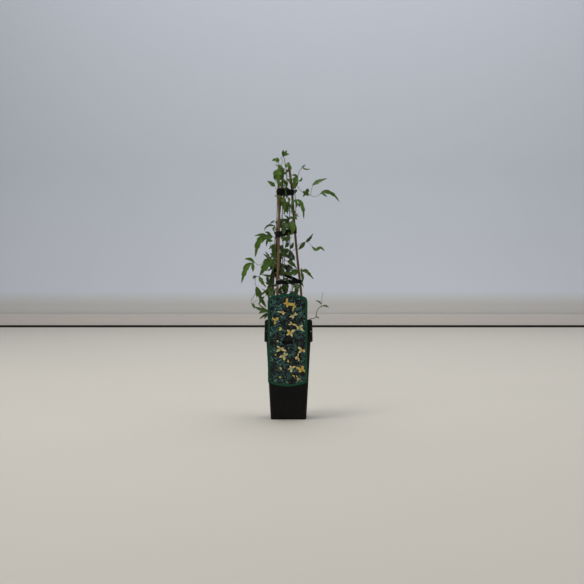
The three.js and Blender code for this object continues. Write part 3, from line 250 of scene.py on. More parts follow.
# Leaflets: the outline, the width and the points of the midrib.
LEAVES = {
    "vine_left": [
        ("lobed", 13, (-22, -12, 597.5), (-30, -12.5, 600.5), (-39, -14, 598.5)),
        ("slim", 2.6, (-23.3, -12.5, 584), (-31, -14, 590)),
        ("lobed", 18, (-22.6, -13, 579), (-25, -15, 562), (-23, -13.5, 543)),
        ("plain", 11, (-25.5, -12.3, 573), (-30, -15, 570), (-34, -14, 562)),
        ("plain", 9, (-22.6, -13, 579.5), (-17, -14.5, 577.5), (-12, -13.5, 570)),
        ("plain", 9, (-24.5, -13.5, 550), (-20, -15, 544), (-15, -13.5, 537)),
        ("slim", 4, (-31, 1, 556), (-36, 0, 563)),
        ("toothed", 11, (-32, -2, 540.5), (-50, -6, 552)),
        ("slim", 3.2, (-26.3, 0.2, 518), (-33.5, -3, 516.5)),
        ("slim", 4.2, (-33, -2, 459.5), (-44, -5, 452)),
        ("plain", 5, (-31.5, -4.5, 447.5), (-45, -9, 448.5), (-54, -11, 442), (-56, -11, 436)),
        ("slim", 5, (-31.5, -4.5, 446), (-35.5, -6, 440), (-33, -6, 433.5)),
        ("lobed", 18, (-38, -8.5, 422), (-50, -12, 421.5), (-63, -15, 420)),
        ("toothed", 16, (-46, -11, 421), (-60, -15, 418), (-70, -17, 407), (-77.5, -16, 375)),
        ("plain", 6.5, (-49, -11.5, 424), (-62, -15, 426.5), (-79, -18, 423)),
        ("plain", 10, (-51, -12, 420), (-44.5, -13, 413), (-36.5, -12.5, 411)),
        ("lobed", 20, (-30.5, -3.3, 373), (-34, -6, 388), (-36, -7, 403)),
        ("toothed", 21, (-41.5, -7.5, 374), (-52, -10, 356), (-67, -13, 331)),
        ("slim", 4, (-43.5, -8, 374.2), (-55, -10, 387.5)),
        ("slim", 5, (-45, -8.5, 371), (-58.5, -11, 382)),
        ("slim", 4.5, (-46, -8.5, 369), (-58, -11, 368)),
        ("plain", 7.5, (-79, -21.5, 361), (-88, -23, 368.5), (-101.5, -25, 369.5)),
        (
            "toothed", 14, (-85, -22.8, 360.5), (-96, -26, 352), (-103, -28, 334),
            (-109, -27, 314),
        ),
        ("plain", 7.5, (-83, -22.5, 360.5), (-82.5, -24, 350), (-82, -23, 339.5)),
        ("slim", 5.5, (-37, -6, 328.5), (-49, -9, 331), (-62, -12, 333.5)),
        ("toothed", 10, (-68.5, -10, 328.5), (-62, -13, 317), (-53, -14, 304)),
        ("plain", 6, (-74.5, -10.9, 328.8), (-80, -12, 328), (-81.5, -12, 322.5)),
        ("lobed", 15, (-75, -11, 305), (-67, -14, 283), (-52, -15, 257)),
        ("plain", 6, (-85.7, -9, 266), (-82, -11, 262), (-80, -11, 254.5)),
        ("lobed", 14, (-43.5, -12, 309), (-48, -14, 320), (-50, -13, 331)),
        ("lobed", 12, (-41, -12, 304), (-38.5, -14, 316), (-38, -13, 328)),
        ("toothed", 11, (-40.5, -12, 303), (-48, -14.5, 297), (-53, -14, 287)),
        ("lobed", 14, (-36, -11, 298), (-38, -23, 292), (-36, -32, 276)),
        ("slim", 3.2, (-46, -14, 299.5), (-53, -15.5, 296), (-62, -16, 300.5)),
        # Small leaves that the CAD model leaves out
        ("plain", 7, (-20, -6, 566), (-15, -9, 572), (-11, -9, 580)),
        ("plain", 8, (-22, -12.5, 574), (-18, -14.5, 566), (-15, -14, 555)),
        ("slim", 5, (-23.5, -12, 588), (-19, -13, 586), (-13, -12, 581)),
        ("plain", 7, (-26.5, -11.5, 567), (-31, -13, 563), (-31.5, -13, 553)),
        ("plain", 6.5, (-23.8, -2, 553), (-19, -9, 557), (-14, -12, 552)),
        ("slim", 6, (-46, -11, 421), (-50, -13, 410), (-52, -13, 399)),
        ("plain", 6.5, (-41, -9.5, 422), (-47, -13, 430), (-55, -14, 433)),
        ("plain", 8, (-34, -5, 371), (-41, -10, 362), (-43, -12, 349)),
        ("toothed", 10, (-30, -4, 371), (-36, -9, 359), (-37, -12, 343)),
        ("plain", 8, (-57, -16, 282), (-63, -17, 276), (-68, -17, 265)),
        ("slim", 5, (-48, -14.5, 297), (-58, -17, 291), (-66, -18, 283)),
        ("toothed", 10, (-33, -10.5, 295), (-42, -16, 291), (-46, -20, 277)),
    ],
    "vine_right": [
        ("slim", 3.8, (31.5, 2, 584), (39.5, 0, 591)),
        ("slim", 3.8, (31.5, 2, 583.8), (42, 0, 580), (51, -1, 580.5)),
        ("slim", 5, (24, -3, 552), (29, -4, 554), (31.5, -4, 561.5)),
        ("lobed", 15, (20.5, -1.8, 563), (14, -5.5, 550), (12, -5.5, 531)),
        ("slim", 5, (20.5, -1.5, 564.5), (14, -4.5, 566), (7, -4.5, 565.5)),
        ("slim", 5, (17.3, -3, 541.5), (20, -4.5, 547), (20.5, -4, 553)),
        ("lobed", 17, (38.5, 6, 521), (46.5, 5, 535.5)),
        ("slim", 4.5, (38, 6, 522.5), (34, 6, 516)),
        ("toothed", 11, (56.5, 12, 544), (70, 14, 553), (90, 17, 560.5)),
        ("toothed", 10, (74, 15, 523.5), (86, 17, 529.5), (105, 21, 523.5), (120, 23, 507)),
        ("slim", 4.6, (79, 16, 525.5), (91, 15, 517)),
        ("toothed", 10, (16.2, 0, 508.5), (26, -4, 504.5), (34, -8, 485), (35.5, -9, 464)),
        ("slim", 5.5, (16.3, -0.3, 508), (18.5, -3, 500), (19, -4, 490)),
        ("slim", 3.4, (14.5, -2.3, 472.5), (22.5, -4, 476)),
        ("slim", 3.4, (14, -2.5, 471), (25, -5, 470)),
        ("plain", 6, (12, -2.8, 467.5), (16, -6, 466), (20, -7, 461.5)),
        ("plain", 7, (10, -3, 463.5), (6, -7, 467), (1, -8, 461)),
        ("toothed", 16, (7.5, -16.5, 458), (9.5, -23, 442), (8, -24, 424)),
        ("slim", 5, (7.8, -17.5, 456), (13, -20, 451), (18.5, -21, 443)),
        ("toothed", 8, (40, -2, 410), (48, -5, 416), (57, -8, 429)),
        ("plain", 9, (38.5, -1, 409.5), (31, -4, 400), (22.5, -6, 391.5)),
        ("plain", 7.5, (54.5, -9, 399), (63, -12, 391.5), (74, -15.5, 396), (84.5, -19, 388)),
        ("lobed", 15, (24, -4, 343), (12, -8, 338), (0, -10, 335), (-12, -10, 341)),
        ("toothed", 9, (28.5, -4, 342.5), (40, -7, 342), (48, -9, 335), (58, -11, 323)),
        ("plain", 7, (28.5, -4, 342.5), (32.5, -6, 330), (32, -5, 313)),
        ("slim", 3.4, (28.5, -4, 342.5), (30.5, -5, 349)),
        ("lobed", 19, (19, -18.5, 311.5), (19, -26, 301), (16.5, -28, 285.5)),
        # Small leaves that the CAD model leaves out
        ("plain", 7, (15.6, 0, 508), (10, -6, 503), (7, -8, 493)),
        ("slim", 5, (16.5, 0, 500), (22, -4, 498), (27, -6, 490)),
        ("plain", 7, (16, -1, 478), (10, -6, 482), (5, -8, 478)),
        ("plain", 8, (4.2, 1.2, 383), (10, -3, 377), (14, -5, 366)),
        ("toothed", 9, (6.6, 3, 352), (3, -4, 347), (-2, -8, 335)),
        ("plain", 8, (3.6, 1.8, 395), (8, -3, 400), (11, -5, 409)),
    ],
    "vine_centre": [
        ("plain", 6, (-12.6, 0, 611), (-13, -2, 618), (-12, -2, 625.5)),
        ("plain", 8, (-12.6, 0, 611.5), (-8, -3, 617), (-4.5, -4, 624)),
        ("plain", 7, (-12.6, 0, 611.5), (-6, -3, 614.5), (2, -4, 615)),
        ("plain", 8, (-2, -5.5, 592), (2, -7.5, 586.5), (7, -8, 578)),
        ("plain", 7, (-1.8, -5.5, 592), (-4, -7.5, 587.5), (-6.5, -7.5, 582)),
        ("slim", 5.5, (-4.1, 1.8, 552), (-4, -2, 548), (-4, -3.5, 537)),
        ("slim", 5.5, (-3.5, -8.2, 512.5), (-6.5, -10, 522), (-7, -10, 534)),
        ("plain", 8, (-9, -10.3, 510.5), (-14, -13, 508), (-18, -14, 502)),
        ("plain", 6, (-1, -7.3, 512.7), (1.5, -9, 508), (1, -9, 502)),
        ("toothed", 9.5, (-8.5, -10.2, 510.8), (-9.5, -12, 491), (-10, -10, 472.5)),
        ("slim", 4.5, (-14, -11.5, 512), (-15.5, -13, 502), (-13, -13, 493)),
        ("slim", 5, (-15, -11.8, 513), (-19.5, -14, 514.5), (-20, -14.5, 508)),
        ("lobed", 19, (-4.5, -9.5, 453.3), (-9, -20, 445), (-13, -27, 426)),
        ("lobed", 12, (-8.5, -8.5, 413.5), (-13, -14, 417), (-18, -18, 423)),
        ("lobed", 13, (-7, -5.5, 412.8), (-1, -10, 420), (1, -11, 432)),
        ("toothed", 16, (-9.7, -4, 375), (-13, -8, 388), (-16, -9, 403)),
        ("toothed", 10, (-2.5, -8.3, 364.5), (8, -11, 359.5), (19.5, -12, 347)),
        ("plain", 6.5, (-2, -8.5, 364.5), (7, -10.5, 368.5), (12.5, -11, 378.5)),
        ("slim", 5, (-9.3, -3.8, 380.5), (-3, -7, 379), (5.5, -9, 376)),
        ("lobed", 15, (-9.6, -4.5, 300), (-15, -9, 302), (-22, -12, 298)),
        ("lobed", 11, (-9, -5, 292), (-8, -10, 300), (-3, -12, 307)),
        ("toothed", 12, (-8.6, -5.3, 290), (-14, -9, 285), (-17, -12, 276)),
        # Small leaves that the CAD model leaves out
        ("plain", 8, (-4.6, 2, 545), (-10, -6, 551), (-14, -9, 558)),
        ("plain", 7, (-4.4, 2, 558), (1, -5, 554), (4, -7, 545)),
        ("slim", 5, (-4.4, 2, 538), (-9, -7, 542), (-14, -11, 538)),
        ("slim", 5, (-4.8, 2, 568), (-9, -4, 571), (-14, -6, 565)),
        ("plain", 6.5, (-5.2, 2, 573), (-1, -4, 577), (1.5, -6, 572)),
        ("slim", 4.5, (1.2, -0.6, 505), (-3, -8, 500), (-6, -10, 490)),
        ("slim", 4.5, (1.6, -0.8, 496), (6, -5, 491), (8, -7, 481)),
        ("slim", 4.5, (1.9, -0.8, 489), (-3, -6, 487), (-8, -9, 479)),
        ("plain", 7.5, (0.3, 1, 457), (-5, -6, 461), (-12, -10, 457)),
        ("slim", 5, (1.2, 0.5, 462), (-4, -6, 469), (-10, -9, 471)),
        ("plain", 8, (-7.5, -2.8, 398), (-3, -8, 403), (-1, -10, 412)),
        ("plain", 7.5, (-9, -3.5, 386), (-3, -8, 391), (3, -10, 388)),
        ("toothed", 10, (-10, -4, 345), (-15, -9, 341), (-17, -12, 329)),
        ("toothed", 9, (-10, -4, 325), (-4, -9, 322), (0, -12, 311)),
    ],
    "shoot_right": [
        ("slim", 3.8, (76.3, -24, 264.5), (70, -25, 271), (62, -26, 273)),
        ("slim", 4.8, (78.5, -24, 260.8), (86, -25.5, 261), (93.5, -27, 257)),
        ("slim", 3, (63.8, -22, 236.5), (71, -23, 232)),
    ],
    "shoot_left": [
        ("toothed", 9, (-48, -27, 250), (-65, -30, 253), (-82, -32, 260)),
        ("plain", 9, (-47.5, -26.5, 249), (-58, -30, 249), (-68.5, -31, 243.5)),
        ("slim", 5.5, (-45.5, -24.5, 243.5), (-56, -28, 239), (-67, -30, 230.5)),
        ("plain", 6, (-45, -24, 242), (-51, -28, 239), (-56, -29, 231)),
        ("slim", 3.6, (-47.5, -26.5, 249.5), (-60, -29, 257), (-71, -31, 267.5)),
    ],
}

# Sprigs of three leaflets: the root, the bearing, the length of the stalk, the size, and how far
# the sprig hangs from the level.
SPRIGS = {
    "vine_back": [
        ((-10.9, 13, 246), 112, 42, 42, 45),
        ((-11, 12.8, 262), 58, 36, 44, 40),
        ((-11.5, 11.4, 292), 128, 34, 42, 60),
        ((-11.8, 9.3, 314), 84, 30, 42, 60),
        ((-14, 10, 350), 104, 32, 42, 50),
        ((-13.8, 9.9, 358), 128, 28, 42, 65),
        ((-13.5, 9.2, 380), 106, 24, 38, 45),
        ((-13.2, 8.2, 397), 122, 32, 30, 70),
        ((-14.9, 4, 444), 84, 30, 32, 55),
        ((-15, 4, 450), 62, 32, 26, 45),
        ((-14, 3.1, 499), 76, 22, 26, 45),
        ((-11.9, 1.9, 534.5), 88, 20, 28, 60),
        # Small sprigs that the CAD model leaves out
        ((-12, 9, 320), 166, 30, 31, 70),
        ((-12.6, 9.4, 331), 150, 26, 34, 75),
        ((-13.6, 9.8, 346), 172, 20, 30, 65),
        ((-14, 10, 352), 62, 20, 27, 60),
        ((-11.7, 10.6, 297), 168, 36, 30, 72),
        ((-11.6, 11, 286), 40, 30, 30, 62),
        ((-13.3, 8.6, 386), 44, 18, 26, 62),
        ((-13, 8, 398), 150, 12, 26, 75),
        ((-15, 4, 462), 95, 10, 24, 68),
        ((-14.1, 3, 495), 40, 12, 22, 66),
    ],
}

# A sprig's leaflets: outline, width, and the two ends of the midrib, in shares of its size.
SPRIG_LEAFLETS = [
    ("toothed", 0.42, (0.1, 0), (0.99, 0)),
    ("toothed", 0.29, (0.03, 0.04), (0.37, 0.68)),
    ("toothed", 0.29, (0.03, -0.04), (0.37, -0.68)),
]


def linear(code):
    """An sRGB hex colour as the linear colour that a socket takes."""
    channels = [int(code[i : i + 2], 16) / 255 for i in (1, 3, 5)]
    curve = [c / 12.92 if c <= 0.04045 else ((c + 0.055) / 1.055) ** 2.4 for c in channels]
    return (*curve, 1.0)


def size(name, millimetres, description):
    return FloatProperty(
        name=name,
        description=description,
        default=millimetres * MM,
        min=0.0,
        precision=5,
        subtype="DISTANCE",
        unit="LENGTH",
    )


def colour(name, code, description):
    return FloatVectorProperty(
        name=name,
        description=description,
        default=linear(code),
        size=4,
        min=0.0,
        max=1.0,
        subtype="COLOR",
    )


def lerp(a, b, share):
    return a + (b - a) * share


def clamp(value, low=0.0, high=1.0):
    return min(high, max(low, value))


# Materials. The Mix node keeps its two inputs and its output of each kind under these numbers.
MIX_SOCKETS = {"RGBA": (6, 7, 2), "VECTOR": (4, 5, 1)}


def new_material(name):
    material = bpy.data.materials.new(name)
    material.use_nodes = True
    material.node_tree.nodes.clear()
    return material


def add(material, kind, inputs=None, out=0, **settings):
    """Adds a shader node with its settings, values and links, and returns one of its outputs."""
    tree = material.node_tree
    node = tree.nodes.new("ShaderNode" + kind)
    for name, value in settings.items():
        setattr(node, name, value)
    for name, value in (inputs or {}).items():
        if isinstance(value, bpy.types.NodeSocket):
            tree.links.new(value, node.inputs[name])
        else:
            node.inputs[name].default_value = value
    return node.outputs[out] if node.outputs else None


def finish_material(material, shader):
    add(material, "OutputMaterial", {"Surface": shader})
    return material


def per(millimetres):
    """The scale of a texture whose features are that wide, on coordinates in metres."""
    return 1 / (millimetres * MM)


def coordinates(m):
    return add(m, "TexCoord", out="Object")


def unwrapped(m):
    return add(m, "UVMap", uv_map="UVMap")


def vertex_tint(m):
    return add(m, "Attribute", attribute_name="tint", out="Fac")


def axis(m, vector, name):
    return add(m, "SeparateXYZ", {"Vector": vector}, out=name)


def clouds(m, place, width, detail, roughness=0.5, out="Fac"):
    """Noise whose features are that many millimetres wide."""
    inputs = {"Vector": place, "Scale": per(width), "Detail": detail, "Roughness": roughness}
    return add(m, "TexNoise", inputs, out=out)


def cells(m, place, width, **settings):
    """Cells that are that many millimetres wide."""
    return add(m, "TexVoronoi", {"Vector": place, "Scale": per(width)}, **settings)


def calc(m, operation, *values, **settings):
    return add(m, "Math", dict(enumerate(values)), operation=operation, **settings)


def ramp(m, value, low, high, start=0.0, end=1.0):
    """Goes from start to end while a value goes from low to high."""
    inputs = {"Value": value, "From Min": low, "From Max": high, "To Min": start, "To Max": end}
    return add(m, "MapRange", inputs)


def mix(m, share, first, second, kind="RGBA"):
    """The first colour or vector, gone over to the second by a share."""
    a, b, result = MIX_SOCKETS[kind]
    return add(m, "Mix", {0: share, a: first, b: second}, out=result, data_type=kind)


def bump(m, height, strength, depth, under=None):
    """The normal of a relief that many millimetres deep, on top of another relief."""
    inputs = {"Height": height, "Strength": strength, "Distance": depth * MM}
    if under is not None:
        inputs["Normal"] = under
    return add(m, "Bump", inputs)


def surface(m, tint, roughness, ior=1.5, normal=None, specular=0.5):
    """The shader of a surface that isn't metal."""
    inputs = {"Base Color": tint, "Roughness": roughness, "IOR": ior}
    inputs["Specular IOR Level"] = specular
    if normal is not None:
        inputs["Normal"] = normal
    return add(m, "BsdfPrincipled", inputs)


def moulded_plastic(name, base, worn, dust, roughness):
    """Black polypropylene, injection moulded: a fine satin skin that shows sheen rather than
    highlights, paler scuffs, and peat dust that clings near the ground."""
    m = new_material(name)
    place = coordinates(m)
    scuffs = clouds(m, place, 9, 6.0, 0.7)
    skin = mix(m, ramp(m, scuffs, 0.56, 0.78, end=0.5), base, worn)
    near_ground = ramp(m, axis(m, place, "Z"), 0.05, 0.0)
    specks = ramp(m, clouds(m, place, 2.5, 8.0, 0.75), 0.5, 0.75, end=0.7)
    dusty = mix(m, calc(m, "MULTIPLY", near_ground, specks), skin, dust)
    grain = bump(m, clouds(m, place, 0.5, 2.0), 0.16, 0.1)
    normal = bump(m, clouds(m, place, 30, 1.0), 0.35, 0.8, grain)
    rough = ramp(m, scuffs, 0.3, 0.7, roughness, 0.62)
    return finish_material(m, surface(m, dusty, rough, 1.49, normal, 0.2))


def peat_material(settings):
    """Moist black peat: dull, near black, with browner crumbs and fibres."""
    m = new_material("moist_peat")
    place = coordinates(m)
    clumps = ramp(m, clouds(m, place, 6, 8.0), 0.35, 0.68)
    base = mix(m, clumps, settings.peat, settings.crumb)
    normal = bump(m, cells(m, place, 1.6), 0.6, 0.5)
    return finish_material(m, surface(m, base, 0.95, 1.4, normal))


def ink(name, base, other, grain, share):
    """Offset ink on a polypropylene card: flat, even colour with a soft sheen, broken up by a
    second tone at the scale of the printed detail."""
    m = new_material(name)
    place = coordinates(m)
    warp = clouds(m, place, grain, 5.0, out="Color")
    bent = mix(m, 0.012, place, warp, "VECTOR")
    detail = calc(m, "ADD", cells(m, bent, grain * 0.7), clouds(m, place, grain * 3, 4.0))
    mask = ramp(m, detail, 1.25 - share, 1.45 - share)
    return finish_material(m, surface(m, mix(m, mask, base, other), 0.42, specular=0.22))


def bamboo(name, base, dark):
    """Tonkin bamboo, dried and unpeeled: a hard satin rind with fine fibres along the cane and
    darker bands at its nodes. The tube's UV map runs round it, and along it in metres."""
    m = new_material(name)
    flat = unwrapped(m)

    def streaks(scale, detail):
        stretched = add(m, "Mapping", {"Vector": flat, "Scale": scale})
        return add(m, "TexNoise", {"Vector": stretched, "Scale": 1.0, "Detail": detail})

    fibres = streaks((26.0, 40.0, 1.0), 5.0)
    patches = streaks((2.0, 16.0, 1.0), 3.0)
    rind = mix(m, ramp(m, calc(m, "MULTIPLY", fibres, patches), 0.12, 0.42), dark, base)
    banded = mix(m, vertex_tint(m), rind, dark)
    return finish_material(m, surface(m, banded, 0.48, normal=bump(m, fibres, 0.35, 0.15)))


def leaf_material(name, young, mature, vein, glow, roughness, relief):
    """A clematis leaflet: thin living tissue with a waxy skin, netted veins and light that
    shines through. The UV map runs across the leaflet and along its midrib. The tint goes from
    the dark end to young; the dark end stands for older leaves and for painted shade."""
    m = new_material(name)
    flat = unwrapped(m)
    place = coordinates(m)
    aside = calc(m, "ABSOLUTE", calc(m, "SUBTRACT", axis(m, flat, "X"), 0.5))
    rib = ramp(m, aside, 0.045, 0.01)
    slant = calc(m, "MULTIPLY_ADD", aside, -1.9, axis(m, flat, "Y"))
    wave = calc(m, "PINGPONG", calc(m, "MULTIPLY", slant, 7.0), 1.0)
    side_veins = ramp(m, wave, 0.14, 0.0, end=0.7)
    net = ramp(m, cells(m, place, 1.3, feature="DISTANCE_TO_EDGE"), 0.09, 0.0, end=0.35)
    veins = calc(m, "MAXIMUM", calc(m, "MAXIMUM", rib, side_veins), net)
    shade = ramp(m, clouds(m, place, 7, 4.0), 0.0, 1.0, -0.25, 0.25)
    # The tint carries painted shade as well as how old a leaflet is; a cloud breaks it up.
    age_and_shade = calc(m, "ADD", vertex_tint(m), shade, use_clamp=True)
    skin = mix(m, calc(m, "MULTIPLY", veins, 0.55), mix(m, age_and_shade, mature, young), vein)
    pores = bump(m, clouds(m, place, 0.4, 2.0), 0.1, 0.05)
    normal = bump(m, veins, relief, 0.2, pores)
    waxy = surface(m, skin, roughness, 1.42, normal)
    light = add(m, "BsdfTranslucent", {"Color": glow, "Normal": normal})
    return finish_material(m, add(m, "MixShader", {0: 0.2, 1: waxy, 2: light}))


def stem_material(green, purple, pale):
    """Young clematis stem: ribbed green wood, flushed purple where the sun reaches it. The UV
    map runs round it, and along it in metres."""
    m = new_material("ribbed_stem")
    ribs = calc(m, "SINE", calc(m, "MULTIPLY", axis(m, unwrapped(m), "X"), 12 * math.pi))
    shade = ramp(m, clouds(m, coordinates(m), 5, 5.0), 0.0, 1.0, -0.35, 0.35)
    flush = calc(m, "ADD", vertex_tint(m), shade, use_clamp=True)
    skin = mix(m, ramp(m, ribs, 0.2, 1.0, end=0.3), mix(m, flush, green, purple), pale)
    return finish_material(m, surface(m, skin, 0.55, 1.45, bump(m, ribs, 0.4, 0.12)))


def painted_board(name, base, other, roughness):
    """A plain matt painted surface, with the faint cloudiness of a rolled coat."""
    m = new_material(name)
    cloud = clouds(m, coordinates(m), 700, 3.0)
    return finish_material(m, surface(m, mix(m, cloud, base, other), roughness))


# Meshes
def new_part():
    """An empty mesh in millimetres, with the layers that every piece carries."""
    bm = bmesh.new()
    bm.loops.layers.uv.new("UVMap")
    bm.verts.layers.float.new("tint")
    return bm


def new_mesh(name, bm):
    mesh = bpy.data.meshes.new(name)
    bm.to_mesh(mesh)
    bm.free()
    return mesh


def new_object(name, data):
    obj = bpy.data.objects.new(name, data)
    bpy.context.scene.collection.objects.link(obj)
    return obj


def absorb(whole, part, material=None):
    """Adds a part to a larger mesh and frees it."""
    if material is not None:
        for face in part.faces:
            face.material_index = material
    mesh = new_mesh("part", part)
    whole.from_mesh(mesh)
    bpy.data.meshes.remove(mesh)


def make_piece(name, bm, materials, slot, *nodes, sharp=40):
    """Turns a mesh in millimetres into a finished object that stands for its nodes."""
    mesh = new_mesh(name, bm)
    mesh.transform(Matrix.Scale(MM, 4))
    mesh.shade_smooth()
    mesh.set_sharp_from_angle(angle=math.radians(sharp))
    for material in materials:
        mesh.materials.append(material)
    obj = new_object(name, mesh)
    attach(obj, "root")
    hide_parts(*nodes)


def combine(bm, tool, operation):
    """Cuts a closed mesh by another, or joins it on, and returns the new mesh."""
    parts = (("whole", bm), ("tool", tool))
    whole, other = [new_object(name, new_mesh(name, part)) for name, part in parts]
    modifier = whole.modifiers.new("combine", "BOOLEAN")
    modifier.operation = operation
    modifier.solver = "EXACT"
    modifier.object = other
    evaluated = whole.evaluated_get(bpy.context.evaluated_depsgraph_get())
    result = bmesh.new()
    result.from_mesh(evaluated.to_mesh())
    for obj in (whole, other):
        mesh = obj.data
        bpy.data.objects.remove(obj)
        bpy.data.meshes.remove(mesh)
    return result


def extrude_rim(bm, rim):
    """Extrudes an open rim of edges, and returns its new corners and its new edges."""
    made = bmesh.ops.extrude_edge_only(bm, edges=rim)["geom"]
    ring = [v for v in made if isinstance(v, bmesh.types.BMVert)]
    return ring, [e for e in made if isinstance(e, bmesh.types.BMEdge) and e.is_boundary]


class Route:
    """A smooth curve through chosen points, read by the share of its length."""

    SUBSTEPS = 12

    def __init__(self, points):
        marks = [Vector(p) for p in points]
        marks = [2 * marks[0] - marks[1], *marks, 2 * marks[-1] - marks[-2]]
        self.places = []
        for a, b, c, d in zip(marks, marks[1:], marks[2:], marks[3:]):
            before, span, after = ((q - p).length ** 0.5 for p, q in ((a, b), (b, c), (c, d)))
            leave = (b - a) / before - (c - a) / (before + span) + (c - b) / span
            reach = (c - b) / span - (d - b) / (span + after) + (d - c) / after
            for k in range(self.SUBSTEPS):
                t = k / self.SUBSTEPS
                hermite = (2 * t**3 - 3 * t**2 + 1) * b + (3 * t**2 - 2 * t**3) * c
                slopes = (t**3 - 2 * t**2 + t) * leave + (t**3 - t**2) * reach
                self.places.append(hermite + span * slopes)
        self.places.append(marks[-2])
        self.marks = [0.0]
        for p, q in zip(self.places, self.places[1:]):
            self.marks.append(self.marks[-1] + (q - p).length)
        self.length = self.marks[-1]

    def at(self, share):
        target = clamp(share) * self.length
        low, high = 0, len(self.marks) - 1
        while high - low > 1:
            middle = (low + high) // 2
            if self.marks[middle] <= target:
                low = middle
            else:
                high = middle
        span = self.marks[high] - self.marks[low]
        return self.places[low].lerp(self.places[high], (target - self.marks[low]) / span)

    def along(self, share):
        return (self.at(share + 0.02) - self.at(share - 0.02)).normalized()


def tube(route, radius, sides, step):
    """A closed tube along a route. Radius is a function of the length passed so far. The UV map
    runs round the tube, and along it in metres."""
    bm = new_part()
    rings = max(2, round(route.length / step))
    bmesh.ops.create_grid(bm, x_segments=sides, y_segments=rings, size=1, calc_uvs=True)
    frames = []
    aside = Vector((1, 0, 0.1))
    for k in range(rings + 1):
        ahead = route.along(k / rings)
        aside = (aside - ahead * aside.dot(ahead)).normalized()
        frames.append((route.at(k / rings), aside, ahead.cross(aside)))
    for vertex in bm.verts:
        ring = round((vertex.co.y + 1) / 2 * rings)
        angle = (vertex.co.x + 1) * math.pi
        centre, across, up = frames[ring]
        reach = radius(ring / rings * route.length)
        vertex.co = centre + reach * (math.cos(angle) * across + math.sin(angle) * up)
    layer = bm.loops.layers.uv["UVMap"]
    for face in bm.faces:
        for loop in face.loops:
            loop[layer].uv.y *= route.length * MM
    bmesh.ops.remove_doubles(bm, verts=bm.verts, dist=0.002)
    edges = [edge for edge in bm.edges if edge.is_boundary]
    bmesh.ops.holes_fill(bm, edges=edges, sides=sides)
    bmesh.ops.recalc_face_normals(bm, faces=bm.faces)
    return bm


def block(width, depth, height, centre):
    bm = new_part()
    place = Matrix.Translation(centre) @ Matrix.Diagonal((width, depth, height, 1))
    bmesh.ops.create_cube(bm, size=1, matrix=place)
    return bm


def round_edges(bm, offset, angle, segments=2):
    """Bevels every edge that is sharper than an angle in degrees."""
    bm.normal_update()
    limit = math.radians(angle)
    edges = [e for e in bm.edges if e.is_manifold and e.calc_face_angle() > limit]
    bmesh.ops.bevel(
        bm,
        geom=edges,
        offset=offset,
        offset_type="OFFSET",
        segments=segments,
        profile=0.5,
        affect="EDGES",
        clamp_overlap=True,
        material=-1,
    )


# Pot
class PotSettings(PropertyGroup):
    wall: size("Wall", WALL, "Thickness of the moulded wall")
    edge: size("Edge rounding", 0.5, "Radius of the rounded edges of the collar and the rim")
    skin: colour("Plastic", "#08090C", "Black polypropylene")
    scuff: colour("Scuffs", "#121418", "Where the plastic is rubbed")
    dust: colour("Dust", "#5A4C3C", "Dried peat near the ground")


def body_width(z):
    return lerp(BASE_WIDTH, BODY_WIDTH, z / STEP_LOW)


def collar_width(z):
    share = (z - STEP_HIGH) / (POT_HEIGHT - STEP_HIGH)
    return lerp(COLLAR_LOW_WIDTH, COLLAR_TOP_WIDTH, share)


def square_form(profile):
    """A closed form with a rounded square plan: a rounded square face whose rim is extruded from
    each (width, height) of the profile to the next, then closed."""
    bm = new_part()
    width, z = profile[0]
    place = Matrix.Translation((0, 0, z))
    bmesh.ops.create_grid(bm, x_segments=1, y_segments=1, size=width / 2, matrix=place)
    bmesh.ops.bevel(
        bm,
        geom=bm.verts[:],
        offset=CORNER_SHARE * width,
        offset_type="OFFSET",
        segments=8,
        profile=0.5,
        affect="VERTICES",
        material=-1,
    )
    rim = bm.edges[:]
    for wide, high in profile[1:]:
        ring, rim = extrude_rim(bm, rim)
        scale = Matrix.Diagonal((wide / width, wide / width, 1, 1))
        bmesh.ops.transform(bm, matrix=scale, verts=ring)
        bmesh.ops.translate(bm, vec=(0, 0, high - z), verts=ring)
        width, z = wide, high
    bmesh.ops.edgeloop_fill(bm, edges=rim)
    bmesh.ops.recalc_face_normals(bm, faces=bm.faces)
    return bm


def pot_cuts():
    """What is cut out of the pot: foot arches, drain holes and the slots of the collar."""
    cuts = new_part()
    wide, deep, high = (FOOT_ARCH[name] for name in ("width", "depth", "height"))
    radius = DRAIN_HOLE["radius"]
    for turn in range(4):
        arch = block(wide, 2 * deep, 2 * high, (0, -BASE_WIDTH / 2, 0))
        round_edges(arch, FOOT_ARCH["rounding"], 60, 3)
        quarter = Matrix.Rotation(turn * math.pi / 2, 3, "Z")
        bmesh.ops.rotate(arch, matrix=quarter, verts=arch.verts)
        absorb(cuts, arch)
        bearing = (turn + 0.5) * math.pi / 2
        place = Matrix.Translation((math.cos(bearing), math.sin(bearing), 0))
        place.translation *= DRAIN_HOLE["reach"]
        bmesh.ops.create_cone(
            cuts,
            cap_ends=True,
            segments=32,
            radius1=radius,
            radius2=radius,
            depth=4 * FLOOR,
            matrix=place,
        )
    slope = Matrix.Rotation(-math.radians(COLLAR_SLOT["slope"]), 3, "X")
    for side in (-1, 1):
        slot = block(COLLAR_SLOT["width"], 2 * POT_HEIGHT, COLLAR_SLOT["height"], (0, 0, 0))
        bmesh.ops.rotate(slot, matrix=slope, verts=slot.verts)
        place = (side * COLLAR_SLOT["x"], 0, COLLAR_SLOT["z"])
        bmesh.ops.translate(slot, vec=place, verts=slot.verts)
        absorb(cuts, slot)
    return cuts


